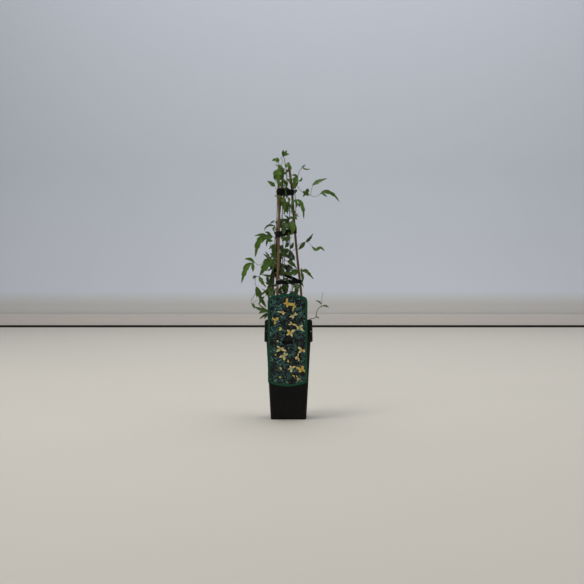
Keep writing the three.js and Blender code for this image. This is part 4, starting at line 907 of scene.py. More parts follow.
def pot_mesh(wall, edge):
    """The pot: outside and inside in one profile, with its peg joined on and its cuts made."""
    thin = 2 * wall
    profile = (
        (BASE_WIDTH, 0),
        (BODY_WIDTH, STEP_LOW),
        (COLLAR_LOW_WIDTH, STEP_HIGH),
        (COLLAR_TOP_WIDTH, POT_HEIGHT),
        (COLLAR_TOP_WIDTH - thin, POT_HEIGHT),
        (COLLAR_LOW_WIDTH - thin, STEP_HIGH + wall),
        (BODY_WIDTH - thin, STEP_LOW + wall),
        (body_width(FLOOR) - thin, FLOOR),
    )
    bm = square_form(profile)
    round_edges(bm, edge, 25)
    root = BODY_WIDTH / 2 - wall / 2
    middle = (PEG["x"], -(PEG["reach"] + root) / 2, PEG["top"] - PEG["height"] / 2)
    peg = block(PEG["width"], PEG["reach"] - root, PEG["height"], middle)
    round_edges(peg, PEG["rounding"], 60, 3)
    return combine(combine(bm, peg, "UNION"), pot_cuts(), "DIFFERENCE")


class CLEMATIS_OT_pot(Operator):
    """Moulds the square nursery pot with its collar, foot arches, drain holes, slots and peg"""

    bl_idname = "clematis.pot"
    bl_label = "Pot"

    def execute(self, context):
        s = context.scene.clematis_pot
        plastic = moulded_plastic("moulded_polypropylene", s.skin, s.scuff, s.dust, 0.4)
        bm = pot_mesh(s.wall / MM, s.edge / MM)
        make_piece("nursery_pot", bm, [plastic], "black_polypropylene", "pot", sharp=32)
        return {"FINISHED"}


# Peat
class PeatSettings(PropertyGroup):
    relief: size("Relief", 1.6, "How far the peat's surface rises and falls")
    crumbs: IntProperty(name="Crumbs", description="Loose crumbs on top", default=420, min=0)
    fibres: IntProperty(name="Fibres", description="Loose fibres on top", default=46, min=0)
    peat: colour("Peat", "#1D1511", "Moist black peat")
    crumb: colour("Crumbs and fibres", "#4A3524", "Drier, browner crumbs")


def peat_height(x, y, relief):
    """The level of the peat's uneven top."""
    broad = noise.noise(Vector((x / 18, y / 18, 3)))
    fine = noise.fractal(Vector((x / 4, y / 4, 7)), 0.9, 2.1, 4)
    return SOIL_TOP - 2 * relief + relief * (broad + 0.55 * fine)


def peat_bed(relief):
    """The closed body of peat: an uneven top, and sides that follow the pot's inside."""
    half = collar_width(SOIL_TOP) / 2 - WALL - SOIL_GAP
    bm = new_part()
    bmesh.ops.create_grid(bm, x_segments=110, y_segments=110, size=1, calc_uvs=True)
    corner = 2 * CORNER_SHARE
    for vertex in bm.verts:
        over_x = max(0.0, abs(vertex.co.x) - (1 - corner))
        over_y = max(0.0, abs(vertex.co.y) - (1 - corner))
        over = math.hypot(over_x, over_y)
        pull = max(over_x, over_y) / over if over else 1
        x = math.copysign(abs(vertex.co.x) - over_x * (1 - pull), vertex.co.x) * half
        y = math.copysign(abs(vertex.co.y) - over_y * (1 - pull), vertex.co.y) * half
        vertex.co = (x, y, peat_height(x, y, relief))
    rim = [edge for edge in bm.edges if edge.is_boundary]
    steps = (
        (COLLAR_LOW_WIDTH, SOIL_STEP_HIGH),
        (BODY_WIDTH, SOIL_STEP_LOW),
        (body_width(SOIL_FOOT), SOIL_FOOT),
    )
    for wide, high in steps:
        ring, rim = extrude_rim(bm, rim)
        share = (wide / 2 - WALL - SOIL_GAP) / half
        for vertex in ring:
            vertex.co = (vertex.co.x * share, vertex.co.y * share, high)
        half *= share
    bmesh.ops.edgeloop_fill(bm, edges=rim)
    bmesh.ops.recalc_face_normals(bm, faces=bm.faces)
    return bm


def crumb_mesh(draw, x, y, relief):
    """A loose crumb of peat that lies half sunk in the top."""
    wide = lerp(0.5, 2.3, draw.random() ** 2.2)
    turn = Euler([draw.uniform(0, math.tau) for _ in range(3)]).to_matrix().to_4x4()
    stretch = Matrix.Diagonal((1, draw.uniform(0.6, 1), draw.uniform(0.5, 0.9), 1))
    place = Matrix.Translation((x, y, peat_height(x, y, relief) + 0.2 * wide))
    bm = new_part()
    bmesh.ops.create_icosphere(bm, subdivisions=1, radius=wide, matrix=place @ turn @ stretch)
    for vertex in bm.verts:
        vertex.co += 0.25 * wide * noise.noise_vector(vertex.co)
    return bm


def fibre_mesh(draw, x, y, relief, reach):
    """A loose fibre that lies along the top, no further out than its reach."""
    bearing, long = draw.uniform(0, math.tau), draw.uniform(4, 12)
    points = []
    for k in range(4):
        px = clamp(x + k / 3 * long * math.cos(bearing) + draw.uniform(-0.8, 0.8), -reach, reach)
        py = clamp(y + k / 3 * long * math.sin(bearing) + draw.uniform(-0.8, 0.8), -reach, reach)
        points.append((px, py, peat_height(px, py, relief) + draw.uniform(0.1, 0.9)))
    return tube(Route(points), lambda _: 0.22, 5, 1.5)


def peat_mesh(relief, crumbs, fibres):
    """The peat with loose crumbs and fibres on top. The crumbs' noise vectors would follow the
    clock if the noise weren't seeded."""
    draw = random.Random(SEED)
    noise.seed_set(SEED)
    bm = peat_bed(relief)
    reach = collar_width(SOIL_TOP) / 2 - 5
    for _ in range(crumbs):
        x, y = draw.uniform(-reach, reach), draw.uniform(-reach, reach)
        absorb(bm, crumb_mesh(draw, x, y, relief))
    for _ in range(fibres):
        x, y = draw.uniform(-reach, reach), draw.uniform(-reach, reach)
        absorb(bm, fibre_mesh(draw, x, y, relief, reach))
    return bm


class CLEMATIS_OT_peat(Operator):
    """Fills the pot with moist peat, crumbs and fibres"""

    bl_idname = "clematis.peat"
    bl_label = "Peat"

    def execute(self, context):
        s = context.scene.clematis_peat
        bm = peat_mesh(s.relief / MM, s.crumbs, s.fibres)
        make_piece("moist_peat", bm, [peat_material(s)], "peat", "soil", sharp=80)
        return {"FINISHED"}


# Label
class LabelSettings(PropertyGroup):
    border_width: size("Border", 5.0, "Width of the plain border")
    border: colour("Border", "#164A32", "Dark green border")
    border_tone: colour("Border tone", "#1B523A", "Second tone of the border")
    ground: colour("Ground", "#1C1418", "Plum black ground of the print")
    ground_tone: colour("Ground foliage", "#2A3938", "Blurred foliage on the ground")
    frond: colour("Fronds", "#4A7F76", "Printed leaves")
    frond_tone: colour("Frond tone", "#28483F", "Second tone of the printed leaves")
    shade: colour("Shaded fronds", "#223E3E", "Printed leaves in the shade")
    mist: colour("Misty fronds", "#86B0AC", "Printed leaves in the light")
    lilac: colour("Lilac haze", "#968C9A", "Printed twigs behind the leaves")
    petal: colour("Petals", "#F2DC74", "Printed petals")
    petal_tone: colour("Petal tone", "#DDB450", "Second tone of the printed petals")
    petal_fold: colour("Petal folds", "#B07F2C", "Shaded folds of the printed petals")
    pale: colour("Pale petals", "#FCF6D0", "Printed petals in the light")
    bud: colour("Buds", "#C3CC46", "Printed buds")
    heart: colour("Hearts", "#93712F", "Middle of each printed flower")
    back: colour("Card back", "#CFCBC0", "Unprinted back of the card")


def quadratic(a, b, c, steps):
    """Points of a quadratic curve from a towards c, without c."""
    shares = [k / steps for k in range(steps)]
    return [
        tuple((1 - t) ** 2 * p + 2 * t * (1 - t) * q + t * t * r for p, q, r in zip(a, b, c))
        for t in shares
    ]


def label_outline(inset):
    """The card's outline with its arched foot and head, moved inwards by an inset."""
    edge = LABEL_EDGE
    low, top = edge["low_half"] - inset, edge["top_half"] - inset
    foot, dip = edge["foot"] + 0.8 * inset, edge["dip"] + 1.1 * inset
    corner, shoulder, apex = (edge[name] - inset for name in ("corner", "shoulder", "apex"))
    points = quadratic((-low, foot), (0, dip), (low, foot), 24)
    points.append((low, foot))
    straight, inner = edge["straight"], top - edge["corner_width"]
    points += quadratic((top, straight), (top, corner), (inner, shoulder), 8)
    points += quadratic((inner, shoulder), (0, apex), (-inner, shoulder), 24)
    points += quadratic((-inner, shoulder), (-top, corner), (-top, straight), 8)
    points.append((-top, straight))
    return points


def round_footed(radius, top):
    """A shape with a straight top and sides and a half-round foot, as the hole and its tab."""
    middle = TAB_HOLE["middle"]
    turns = [math.pi + k * math.pi / 20 for k in range(21)]
    foot = [(radius * math.cos(a), middle + radius * math.sin(a)) for a in turns]
    return [(-radius, top), *foot, (radius, top)]


def bridge(side):
    """The strip of card that still joins the tab to the card on one side."""
    middle = side * (TAB_HOLE["radius"] + TAB["radius"]) / 2
    wide, high = TAB["bridge_width"] / 2, TAB["bridge_height"] / 2
    corners = ((-wide, -high), (wide, -high), (wide, high), (-wide, high))
    return [(middle + x, TAB_HOLE["middle"] + z) for x, z in corners]


def almond(x, z, bearing, length, width, steps=4):
    """A printed leaf or petal: a pointed oval that leaves a point on a bearing."""
    ahead = (math.cos(bearing), math.sin(bearing))
    shares = [k / steps for k in range(steps)]
    points = []
    for side, run in ((-1, shares), (1, [1 - t for t in shares])):
        for t in run:
            aside = side * width / 2 * math.sin(math.pi * t) ** 0.8
            px = x + ahead[0] * t * length - ahead[1] * aside
            pz = z + ahead[1] * t * length + ahead[0] * aside
            points.append((px, pz))
    return points


def foreshorten(points, centre, bearing, share):
    """Flattens a printed outline along a bearing, as a flower seen from the side."""
    ahead = Vector((math.cos(bearing), math.sin(bearing)))
    middle = Vector(centre)
    turned = []
    for point in points:
        reach = Vector(point) - middle
        turned.append(tuple(middle + reach - (1 - share) * reach.dot(ahead) * ahead))
    return turned


def leaflets(draw, x, z, spread, count, tones, long):
    """A bunch of narrow printed leaflets round a point, each with one of the tones."""
    motifs = []
    for _ in range(count):
        px, pz = draw.gauss(x, spread), draw.gauss(z, spread)
        bearing = draw.uniform(0, math.tau)
        reach = long * draw.uniform(0.6, 1.3)
        motifs.append((draw.choice(tones), almond(px, pz, bearing, reach, 0.24 * reach, 3)))
    return motifs


def flower(draw, x, z, bud):
    """A printed flower, or a bud, whose petals each have a fold in another tone."""
    reach = draw.uniform(6, 8) if bud else draw.uniform(10, 15)
    turn, lean = draw.uniform(0, math.tau), draw.uniform(0, math.pi)
    share = draw.uniform(0.4, 0.95)
    pairs = (("petal", "petal_fold"), ("pale", "petal"), ("pale", "petal_fold"), ("pale", "mist"))
    petal, fold = ("bud", "petal") if bud else draw.choice(pairs)
    count = 3 if bud else draw.choice((3, 4, 4))
    motifs = []
    for k in range(count):
        bearing = turn + k * math.tau / count * (0.12 if bud else 1) + draw.uniform(-0.45, 0.45)
        long = reach * draw.uniform(0.55, 1.2)
        for tone, size_share, wide in ((petal, 1, 0.46), (fold, 0.7, 0.13)):
            motifs.append((tone, almond(x, z, bearing, long * size_share, long * wide, 6)))
    if not bud:
        ring = [k * math.tau / 8 for k in range(8)]
        wide = 0.17 * reach
        motifs.append(("heart", [(x + wide * math.cos(a), z + wide * math.sin(a)) for a in ring]))
    return [(tone, foreshorten(outline, (x, z), lean, share)) for tone, outline in motifs]


def print_motifs():
    """The generic print: bunches of narrow leaflets in several tones, with open flowers and buds
    scattered over them. Each motif is its ink and its outline, and a later one lies over an
    earlier one."""
    draw = random.Random(SEED + 1)
    grid, beds = PRINT_GRID, FLOWERS
    shaded, lit = ("shade", "shade", "frond"), ("frond", "frond", "frond", "mist")
    motifs = []
    for row in range(grid["rows"]):
        for column in range(grid["columns"]):
            x = grid["wide"] * column + grid["left"] + draw.uniform(-9, 9)
            z = grid["high"] * row + grid["foot"] + draw.uniform(-8, 8)
            thick = draw.choice((0.25, 0.8, 1, 1.2))
            motifs += leaflets(draw, x, z, 6.5, round(22 * thick), shaded, 9)
            motifs += leaflets(draw, x, z, 4.5, round(16 * thick), lit, 7)
            motifs += leaflets(draw, x, z, 7, 5, ("mist", "lilac", "mist"), 4)
    spots = []
    while len(spots) < beds["count"]:
        x = draw.uniform(-beds["aside"], beds["aside"])
        z = draw.uniform(beds["foot"], beds["top"])
        free = all(math.hypot(x - a, z - b) > beds["apart"] for a, b in spots)
        if free and math.hypot(x, z - beds["hole"]) > beds["off_hole"]:
            spots.append((x, z))
    for order, (x, z) in enumerate(spots):
        motifs += flower(draw, x, z, order % 3 == 2)
    return motifs


def label_mesh(border_width, inks):
    """The card's face, cut along every outline of the print; the operator gives it its thickness.
    """
    hole = round_footed(TAB_HOLE["radius"], TAB_HOLE["top"])
    kept = [round_footed(TAB["radius"], TAB["top"]), bridge(-1), bridge(1)]
    window = label_outline(border_width)
    shapes = [("border", label_outline(0)), ("ground", window), *print_motifs()]
    inked = len(shapes)
    shapes += [(None, outline) for outline in (hole, *kept)]
    places = []
    faces = []
    for _, outline in shapes:
        faces.append(list(range(len(places), len(places) + len(outline))))
        places += [Vector(p) for p in outline]
    points, _, triangles, _, _, owners = delaunay_2d_cdt(places, [], faces, 1, 1e-4)
    bm = new_part()
    front = LABEL["back"] - LABEL["thickness"]
    corners = [bm.verts.new((LABEL["x"] + p.x, front, p.y)) for p in points]
    for triangle, owner in zip(triangles, owners):
        punched = inked in owner and max(owner) == inked
        if punched or 0 not in owner:
            continue
        face = bm.faces.new([corners[i] for i in triangle])
        reach = inked if 1 in owner else 1
        face.material_index = inks.index(shapes[max(i for i in owner if i < reach)][0])
    loose = [v for v in bm.verts if not v.link_faces]
    bmesh.ops.delete(bm, geom=loose, context="VERTS")
    bm.normal_update()
    turned = [f for f in bm.faces if f.normal.y > 0]
    bmesh.ops.reverse_faces(bm, faces=turned)
    return bm


def thicken(bm, thickness, under):
    """Gives an open sheet its thickness, away from the side it shows, with another material."""
    bm.normal_update()
    made = bmesh.ops.solidify(bm, geom=bm.faces[:], thickness=thickness)["geom"]
    for face in made:
        if isinstance(face, bmesh.types.BMFace):
            face.material_index = under


# The inks, by the setting with their colour: material, second colour, grain and its share.
INKS = {
    "border": ("border_ink", "border_tone", 3, 0.5),
    "ground": ("ground_ink", "ground_tone", 4, 0.2),
    "frond": ("frond_ink", "frond_tone", 2, 0.4),
    "shade": ("shaded_frond_ink", "ground", 2, 0.5),
    "mist": ("misty_frond_ink", "frond", 2, 0.4),
    "lilac": ("lilac_ink", "ground", 2, 0.3),
    "petal": ("petal_ink", "petal_tone", 1.6, 0.3),
    "petal_fold": ("petal_fold_ink", "petal_tone", 1.6, 0.3),
    "pale": ("pale_petal_ink", "petal", 1.6, 0.4),
    "bud": ("bud_ink", "petal", 1.6, 0.4),
    "heart": ("heart_ink", "petal_tone", 1, 0.5),
    "back": ("card_back", "back", 2, 0.5),
}


class CLEMATIS_OT_label(Operator):
    """Prints, cuts and hangs the picture label"""

    bl_idname = "clematis.label"
    bl_label = "Label"

    def execute(self, context):
        s = context.scene.clematis_label
        names = list(INKS)
        materials = [
            ink(name, getattr(s, base), getattr(s, tone), grain, share)
            for base, (name, tone, grain, share) in INKS.items()
        ]
        bm = label_mesh(s.border_width / MM, names)
        thicken(bm, LABEL["thickness"], names.index("back"))
        make_piece("picture_card", bm, materials, "printed_card", "picture_label")
        return {"FINISHED"}


# Canes
class CaneSettings(PropertyGroup):
    tan: colour("Tan cane", "#9A835A", "Pale dried rind")
    tan_dark: colour("Tan cane, dark", "#5E4A31", "Fibres and nodes of the pale cane")
    brown: colour("Brown cane", "#92704A", "Reddish brown rind")
    brown_dark: colour("Brown cane, dark", "#5B3D26", "Fibres and nodes of the brown cane")


def cane_mesh(points, offset):
    """A bamboo cane: a tube with a swollen, scarred node at every joint, cut square on top."""
    node = CANE_NODE
    route = Route(points)

    def node_distance(passed):
        return abs((passed + offset) % node["spacing"] - node["spacing"] / 2)

    def radius(passed):
        away = node_distance(passed)
        inward = ((away - node["groove_at"]) / node["groove_length"]) ** 2
        groove = node["groove"] * math.exp(-inward)
        ridge = node["swell"] * math.exp(-((away / node["length"]) ** 2)) - groove
        end = 0.25 if passed > route.length - 0.4 else 0
        return CANE_RADIUS - 0.12 + ridge - end

    bm = tube(route, radius, 18, 1.0)
    tint = bm.verts.layers.float["tint"]
    low, high = points[0][2], points[-1][2]
    for vertex in bm.verts:
        away = node_distance((vertex.co.z - low) / (high - low) * route.length)
        vertex[tint] = 0.75 * math.exp(-((away / node["scar_length"]) ** 2))
    return bm


class CLEMATIS_OT_canes(Operator):
    """Grows the three bamboo canes"""

    bl_idname = "clematis.canes"
    bl_label = "Canes"

    def execute(self, context):
        s = context.scene.clematis_canes
        pale = bamboo("pale_tonkin_bamboo", s.tan, s.tan_dark)
        brown = bamboo("brown_tonkin_bamboo", s.brown, s.brown_dark)
        for order, (node, points) in enumerate(CANES.items()):
            rind, slot = (pale, "pale_bamboo") if order == 0 else (brown, "brown_bamboo")
            bm = cane_mesh(points, 31 * order)
            make_piece("bamboo_" + node, bm, [rind], slot, node, sharp=60)
        return {"FINISHED"}


# Clips
class ClipSettings(PropertyGroup):
    edge: size("Edge rounding", 0.25, "Radius of the moulded edges")
    skin: colour("Plastic", "#0D1210", "Dark green-black polyethylene")
    scuff: colour("Scuffs", "#1B211D", "Where the plastic is rubbed")


class CLEMATIS_OT_clips(Operator):
    """Rounds the edges of the three clips that hold the canes together"""

    bl_idname = "clematis.clips"
    bl_label = "Clips"

    def execute(self, context):
        s = context.scene.clematis_clips
        plastic = moulded_plastic("moulded_polyethylene", s.skin, s.scuff, s.scuff, 0.45)
        for node in ("clip_top", "clip_middle", "clip_low"):
            bm = new_part()
            bm.from_mesh(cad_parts[node].data)
            bmesh.ops.scale(bm, vec=(1 / MM, 1 / MM, 1 / MM), verts=bm.verts)
            bmesh.ops.remove_doubles(bm, verts=bm.verts, dist=0.001)
            flat = math.radians(1)
            bmesh.ops.dissolve_limit(bm, angle_limit=flat, verts=bm.verts, edges=bm.edges)
            round_edges(bm, s.edge / MM, 50)
            make_piece("cane_" + node, bm, [plastic], "clip_plastic", node)
        return {"FINISHED"}


# Foliage
class FoliageSettings(PropertyGroup):
    blade: size("Blade thickness", 0.36, "Thickness of a leaflet")
    fold: FloatProperty(name="Fold", description="How far a leaflet folds up", default=0.26)
    curl: FloatProperty(name="Curl", description="How far its edges turn down", default=0.12)
    wave: FloatProperty(name="Wave", description="Waves of its edge", default=0.045)
    young: colour("Young leaf", "#638A2C", "Bright young blade")
    # The dark end of the leaf tint: older leaves, and painted shade for leaves low down, inside and
    # at the back.
    mature: colour("Mature leaf", "#1A2D16", "Dark mature blade")
    vein: colour("Veins", "#7F9A52", "Paler veins")
    glow: colour("Light through a leaf", "#86AC30", "Colour of light that shines through")
    under_young: colour("Young underside", "#6F8A4E", "Greyer underside")
    # The dark end of the underside tint: older leaves, and painted shade as well.
    under_mature: colour("Mature underside", "#2E3F28", "Greyer underside")
    green_stem: colour("Green stem", "#7A8C52", "Young green stem")
    purple_stem: colour("Purple stem", "#4F3637", "Stem flushed by the sun")
    pale_stem: colour("Stem ribs", "#9FA67E", "Crests of the ribs")


def leaf_rows(outline, fineness):
    """The rows of a leaflet's grid: the outline's, with rows between them that bow it out."""
    marks = OUTLINES[outline]
    rows = []
    for (m0, e0, s0), (m1, e1, s1) in zip(marks, marks[1:]):
        steps = max(2, round((abs(e1 - e0) + 0.15 * abs(s1 - s0)) * fineness))
        for k in range(steps):
            t = k / steps
            bow = 0.34 * 4 * t * (1 - t) * (e1 - e0)
            rows.append((lerp(m0, m1, t), lerp(e0, e1, t), lerp(s0, s1, t) + bow))
    return [*rows, marks[-1]]


def leaf_age_and_shade(draw, root, middle):
    """How young a leaflet is, from 0 to 1, with painted shade mixed in: younger and lighter
    towards the top, painted lighter away from the canes, and painted darker at the back, as shade."""
    # Height is partly real, since older leaflets sit lower; lower, inner and back leaflets are also
    # painted darker as shade.
    high = lerp(-0.05, 0.5, (root.z - 270) / 300)
    out = 0.5 * min(1.0, abs(middle.x) / 75)
    back = 0.15 * clamp(root.y / 12, -1.0, 1.0)
    return clamp(draw.gauss(high + out - back, 0.18))


def leaflet(draw, settings, outline, width, points, facing=FRONT):
    """A leaflet: a grid laid along its midrib, with its upper side turned towards facing."""
    towards = Vector(facing) + Vector([draw.uniform(-0.3, 0.3) for _ in range(3)])
    towards.normalize()
    marks = [Vector(p) for p in points]
    chord = marks[-1] - marks[0]
    if len(marks) == 2:
        marks.insert(1, marks[0] + 0.5 * chord + 0.06 * chord.length * towards)
    marks[0] = marks[0] - 0.5 * (marks[1] - marks[0]).normalized()
    midrib = Route(marks)
    fineness, columns, fold = 18, 6, 0.5 * settings.fold
    if width > BROAD_LEAF:
        fineness, columns, fold = 26, 10, settings.fold
    rows = leaf_rows(outline, fineness)
    phase, beats = draw.random(), draw.uniform(1.4, 2.4)
    # How young the leaflet is, with painted shade in it.
    age_and_shade = leaf_age_and_shade(draw, marks[0], marks[1])
    bm = new_part()
    tint = bm.verts.layers.float["tint"]
    last = len(rows) - 1
    bmesh.ops.create_grid(bm, x_segments=columns, y_segments=last, size=1, calc_uvs=True)
    for vertex in bm.verts:
        side = -vertex.co.x
        middle, edge, share = rows[round((vertex.co.y + 1) / 2 * last)]
        t = lerp(middle, edge, abs(side))
        ahead = midrib.along(t)
        across = towards.cross(ahead).normalized()
        normal = ahead.cross(across)
        reach = side * max(0.2, share * width / 2)
        wave = math.sin(math.tau * (beats * t + phase + 0.3 * (side > 0)))
        rise = fold * abs(reach) - settings.curl * reach**2 / (width / 2)
        rise += settings.wave * width * wave * side**2
        rise += 0.1 * math.cos(math.tau * 7 * (t - 0.95 * abs(side))) * abs(side)
        vertex.co = midrib.at(t) + reach * across + rise * normal
        vertex[tint] = age_and_shade
    thicken(bm, settings.blade / MM, 1)
    return bm


def sprig(root, bearing, reach, size_mm, hang):
    """The stalk's points of a sprig of three leaflets, and each leaflet's outline, width, midrib
    and facing."""
    turn = Matrix.Rotation(math.radians(bearing), 4, "Z")
    rise = 0.3 * reach
    lean = Matrix.Rotation(math.radians(hang), 4, "Y")
    place = Matrix.Translation(root) @ turn @ Matrix.Translation((reach, 0, rise)) @ lean

    def on_blade(ahead, aside):
        sink = 0.32 * (ahead**2 + aside**2)
        return place @ (size_mm * Vector((ahead, aside, -sink)))

    stalk = [
        Vector(root),
        Matrix.Translation(root) @ turn @ Vector((0.5 * reach, 0, 0.24 * reach)),
        place @ Vector((0.6, 0, 0)),
    ]
    facing = (place.to_3x3() @ Vector((0, 0, 1))).normalized()
    leaflets = []
    for outline, width, start, end in SPRIG_LEAFLETS:
        middle = [lerp(a, b, 0.5) for a, b in zip(start, end)]
        points = [on_blade(*p) for p in (start, middle, end)]
        leaflets.append((outline, width * size_mm, points, facing))
    return stalk, leaflets


def stem_mesh(points, radius, taper):
    """A ribbed stem or stalk, a little swollen where it starts and thinner towards its end."""
    route = Route(points)

    def thickness(passed):
        foot = 0.35 * radius * math.exp(-((passed / 1.6) ** 2))
        return radius * lerp(1.0, taper, passed / route.length) + foot

    bm = tube(route, thickness, 9, 2.2)
    tint = bm.verts.layers.float["tint"]
    for vertex in bm.verts:
        cloud = noise.noise(Vector(vertex.co) / 45)
        flush = lerp(0.85, 0.15, (vertex.co.z - 250) / 300)
        vertex[tint] = clamp(flush + 0.8 * cloud)
    return bm


def joint_mesh(place, ahead, radius):
    """The swollen joint of a stem where a stalk leaves it."""
    bm = new_part()
    turn = ahead.to_track_quat("Z", "Y").to_matrix().to_4x4()
    stretch = Matrix.Diagonal((1, 1, 1.7, 1))
    matrix = Matrix.Translation(place) @ turn @ stretch
    bmesh.ops.create_uvsphere(bm, u_segments=12, v_segments=8, radius=radius, matrix=matrix)
    tint = bm.verts.layers.float["tint"]
    for vertex in bm.verts:
        vertex[tint] = 0.8
    return bm


def nearest_on(route, place):
    """The share of a route's length where it passes nearest to a place."""
    shares = [k / 300 for k in range(301)]
    return min(shares, key=lambda share: (route.at(share) - place).length)


def climber_mesh(node, settings, draw):
    """All the stems, stalks and leaflets of one climbing stem."""
    bm = new_part()
    (main_radius, *main_points), *stalks = STEMS[node]
    main = Route(main_points)
    blades = [(outline, width, points) for outline, width, *points in LEAVES.get(node, [])]
    for values in SPRIGS.get(node, []):
        stalk, leaves = sprig(*values)
        stalks.append((SPRIG_STALK, *stalk))
        blades += leaves
    absorb(bm, stem_mesh(main_points, main_radius, 0.8), 2)
    for radius, *points in stalks:
        absorb(bm, stem_mesh(points, radius, 0.75), 2)
        root = Vector(points[0])
        share = nearest_on(main, root)
        if (main.at(share) - root).length < JOINT_REACH:
            absorb(bm, joint_mesh(main.at(share), main.along(share), 1.35 * main_radius), 2)
    for blade in blades:
        absorb(bm, leaflet(draw, settings, *blade))
    return bm


class CLEMATIS_OT_foliage(Operator):
    """Grows the six leafy stems of the climber"""

    bl_idname = "clematis.foliage"
    bl_label = "Foliage"

    def execute(self, context):
        s = context.scene.clematis_foliage
        shared = (s.vein, s.glow)
        upper = leaf_material("clematis_leaf", s.young, s.mature, *shared, 0.46, 0.5)
        pale = (s.under_young, s.under_mature)
        under = leaf_material("clematis_leaf_underside", *pale, *shared, 0.62, 0.9)
        bark = stem_material(s.green_stem, s.purple_stem, s.pale_stem)
        for order, node in enumerate(STEMS):
            bm = climber_mesh(node, s, random.Random(SEED + order))
            make_piece("leafy_" + node, bm, [upper, under, bark], "leaves", node, sharp=75)
        return {"FINISHED"}


# Stage
class StageSettings(PropertyGroup):
    floor: colour("Floor", "#C6C1B8", "Pale cream floor")
    floor_tone: colour("Floor tone", "#C1BDB3", "Second tone of the floor")
    wall: colour("Wall", "#CFD6E1", "Pale grey-blue wall")
    wall_low: colour("Lower wall", "#E2E7F2", "Where the floor lights the wall")
    wall_foot: colour("Foot of the wall", "#D3D1CF", "Warmer grey low on the wall")
    skirting: colour("Skirting", "#DDD3CE", "Pinkish grey skirting board")
    # Colour of the painted shadow below the skirting board.
    gap: colour("Gap", "#1E1A16", "Dark gap below the skirting board")
    wall_distance: size("Wall distance", 5600, "How far behind the pot the wall stands")
    sky: colour("Sky", "#E6EAF0", "Light from all round")
    sky_strength: FloatProperty(name="Sky", description="Light from all round", default=0.2)
    ceiling: FloatProperty(name="Ceiling light", description="Light from above", default=256)
    key: FloatProperty(name="Key light", description="Soft light from the upper left", default=34)


def backdrop(name, depth, matrix, material):
    """A flat board of the stage, as wide as the stage."""
    bm = bmesh.new()
    bmesh.ops.create_grid(bm, x_segments=1, y_segments=1, size=0.5)
    bmesh.ops.scale(bm, vec=(STAGE_WIDTH, depth, 1), verts=bm.verts)
    bmesh.ops.transform(bm, matrix=matrix, verts=bm.verts)
    mesh = new_mesh(name, bm)
    mesh.materials.append(material)
    obj = new_object(name, mesh)


def wall_paint(settings):
    """A matt wall: cooler and darker above, lighter lower down where the floor lights it, and a
    warmer grey at its foot."""
    m = new_material("wall_paint")
    place = coordinates(m)
    height = axis(m, place, "Z")
    drift = calc(m, "MULTIPLY_ADD", clouds(m, place, 900, 3.0), 0.35, height)
    coat = mix(m, ramp(m, drift, 0.4, 1.5), settings.wall_low, settings.wall)
    warmer = mix(m, ramp(m, height, 0.3, 0.19), coat, settings.wall_foot)
    return finish_material(m, surface(m, warmer, 0.9))


def area_light(name, place, target, side, energy, tone):
    """A square light that shines from a place towards a target."""
    light = bpy.data.lights.new(name, "AREA")
    light.size = side
    light.energy = energy
    light.color = tone
    obj = new_object(name, light)
    obj.location = place
    obj.rotation_euler = (Vector(target) - Vector(place)).to_track_quat("-Z", "Y").to_euler()


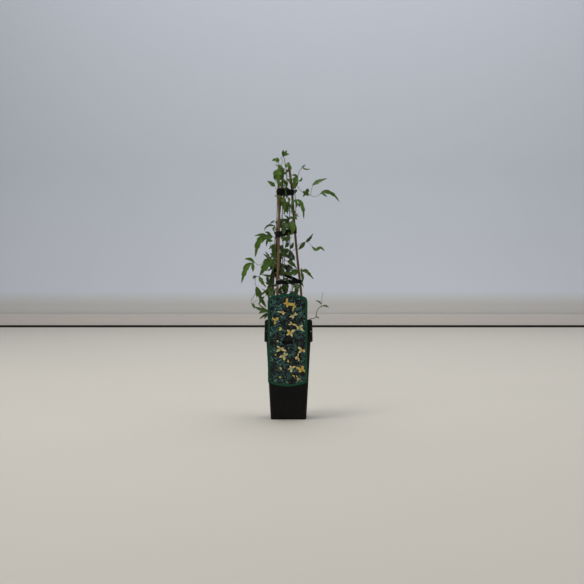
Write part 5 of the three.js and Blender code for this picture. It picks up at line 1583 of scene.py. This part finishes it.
class CLEMATIS_OT_stage(Operator):
    """Sets the floor, the wall, the soft lights and the camera"""

    bl_idname = "clematis.stage"
    bl_label = "Stage"

    def execute(self, context):
        s = context.scene.clematis_stage
        floor = painted_board("floor_paint", s.floor, s.floor_tone, 0.7)
        skirting = painted_board("skirting_paint", s.skirting, s.wall_foot, 0.8)
        # Painted shadow: a dark strip below the skirting board.
        gap = painted_board("painted_gap_shadow", s.gap, s.gap, 0.9)
        wall = {"height": WALL_HEIGHT, "nearer": 0, "middle": WALL_HEIGHT / 2}
        backdrop("floor", 2 * s.wall_distance, Matrix.Identity(4), floor)
        upright = Matrix.Rotation(math.pi / 2, 4, "X")
        paint = wall_paint(s)
        boards = (("wall", wall, paint), ("skirting", SKIRTING, skirting), ("gap", GAP_SHADOW, gap))
        for name, board, paint in boards:
            place = Matrix.Translation((0, s.wall_distance - board["nearer"], board["middle"]))
            backdrop(name, board["height"], place @ upright, paint)
        area_light("ceiling_light", **CEILING_LIGHT, energy=s.ceiling, tone=(1.0, 0.995, 0.98))
        area_light("key_light", **KEY_LIGHT, energy=s.key, tone=(1.0, 0.985, 0.96))
        world = bpy.data.worlds.new("soft_daylight")
        world.use_nodes = True
        inputs = world.node_tree.nodes["Background"].inputs
        inputs["Color"].default_value = s.sky
        inputs["Strength"].default_value = s.sky_strength
        context.scene.world = world
        context.scene.view_settings.view_transform = "Standard"
        camera = bpy.data.cameras.new("camera")
        camera.lens = CAMERA["lens"]
        camera.sensor_width = CAMERA["sensor"]
        eye = new_object("camera", camera)
        eye.location = [value * MM for value in CAMERA["place"]]
        eye.rotation_euler = (math.pi / 2, 0, 0)
        context.scene.camera = eye
        return {"FINISHED"}


# Add-on
SETTINGS = {
    "clematis_pot": PotSettings,
    "clematis_peat": PeatSettings,
    "clematis_label": LabelSettings,
    "clematis_canes": CaneSettings,
    "clematis_clips": ClipSettings,
    "clematis_foliage": FoliageSettings,
    "clematis_stage": StageSettings,
}
OPERATORS = [
    CLEMATIS_OT_pot,
    CLEMATIS_OT_peat,
    CLEMATIS_OT_label,
    CLEMATIS_OT_canes,
    CLEMATIS_OT_clips,
    CLEMATIS_OT_foliage,
    CLEMATIS_OT_stage,
]


class CLEMATIS_PT_panel(Panel):
    """Lists the pieces of the plant and their settings"""

    bl_idname = "CLEMATIS_PT_panel"
    bl_label = "Potted Clematis"
    bl_space_type = "VIEW_3D"
    bl_region_type = "UI"
    bl_category = "Clematis"

    def draw(self, context):
        for operator, (name, group) in zip(OPERATORS, SETTINGS.items()):
            box = self.layout.box()
            box.operator(operator.bl_idname)
            settings = getattr(context.scene, name)
            for field in group.__annotations__:
                box.prop(settings, field)


def register():
    for group in SETTINGS.values():
        bpy.utils.register_class(group)
    for cls in (*OPERATORS, CLEMATIS_PT_panel):
        bpy.utils.register_class(cls)
    for name, group in SETTINGS.items():
        setattr(bpy.types.Scene, name, PointerProperty(type=group))


def unregister():
    for name in SETTINGS:
        delattr(bpy.types.Scene, name)
    for cls in (CLEMATIS_PT_panel, *reversed(OPERATORS)):
        bpy.utils.unregister_class(cls)
    for group in reversed(SETTINGS.values()):
        bpy.utils.unregister_class(group)


def main():
    register()
    bpy.ops.clematis.pot()
    bpy.ops.clematis.peat()
    bpy.ops.clematis.label()
    bpy.ops.clematis.canes()
    bpy.ops.clematis.clips()
    bpy.ops.clematis.foliage()
    bpy.ops.clematis.stage()
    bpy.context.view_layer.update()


if __name__ == "__main__":
    main()
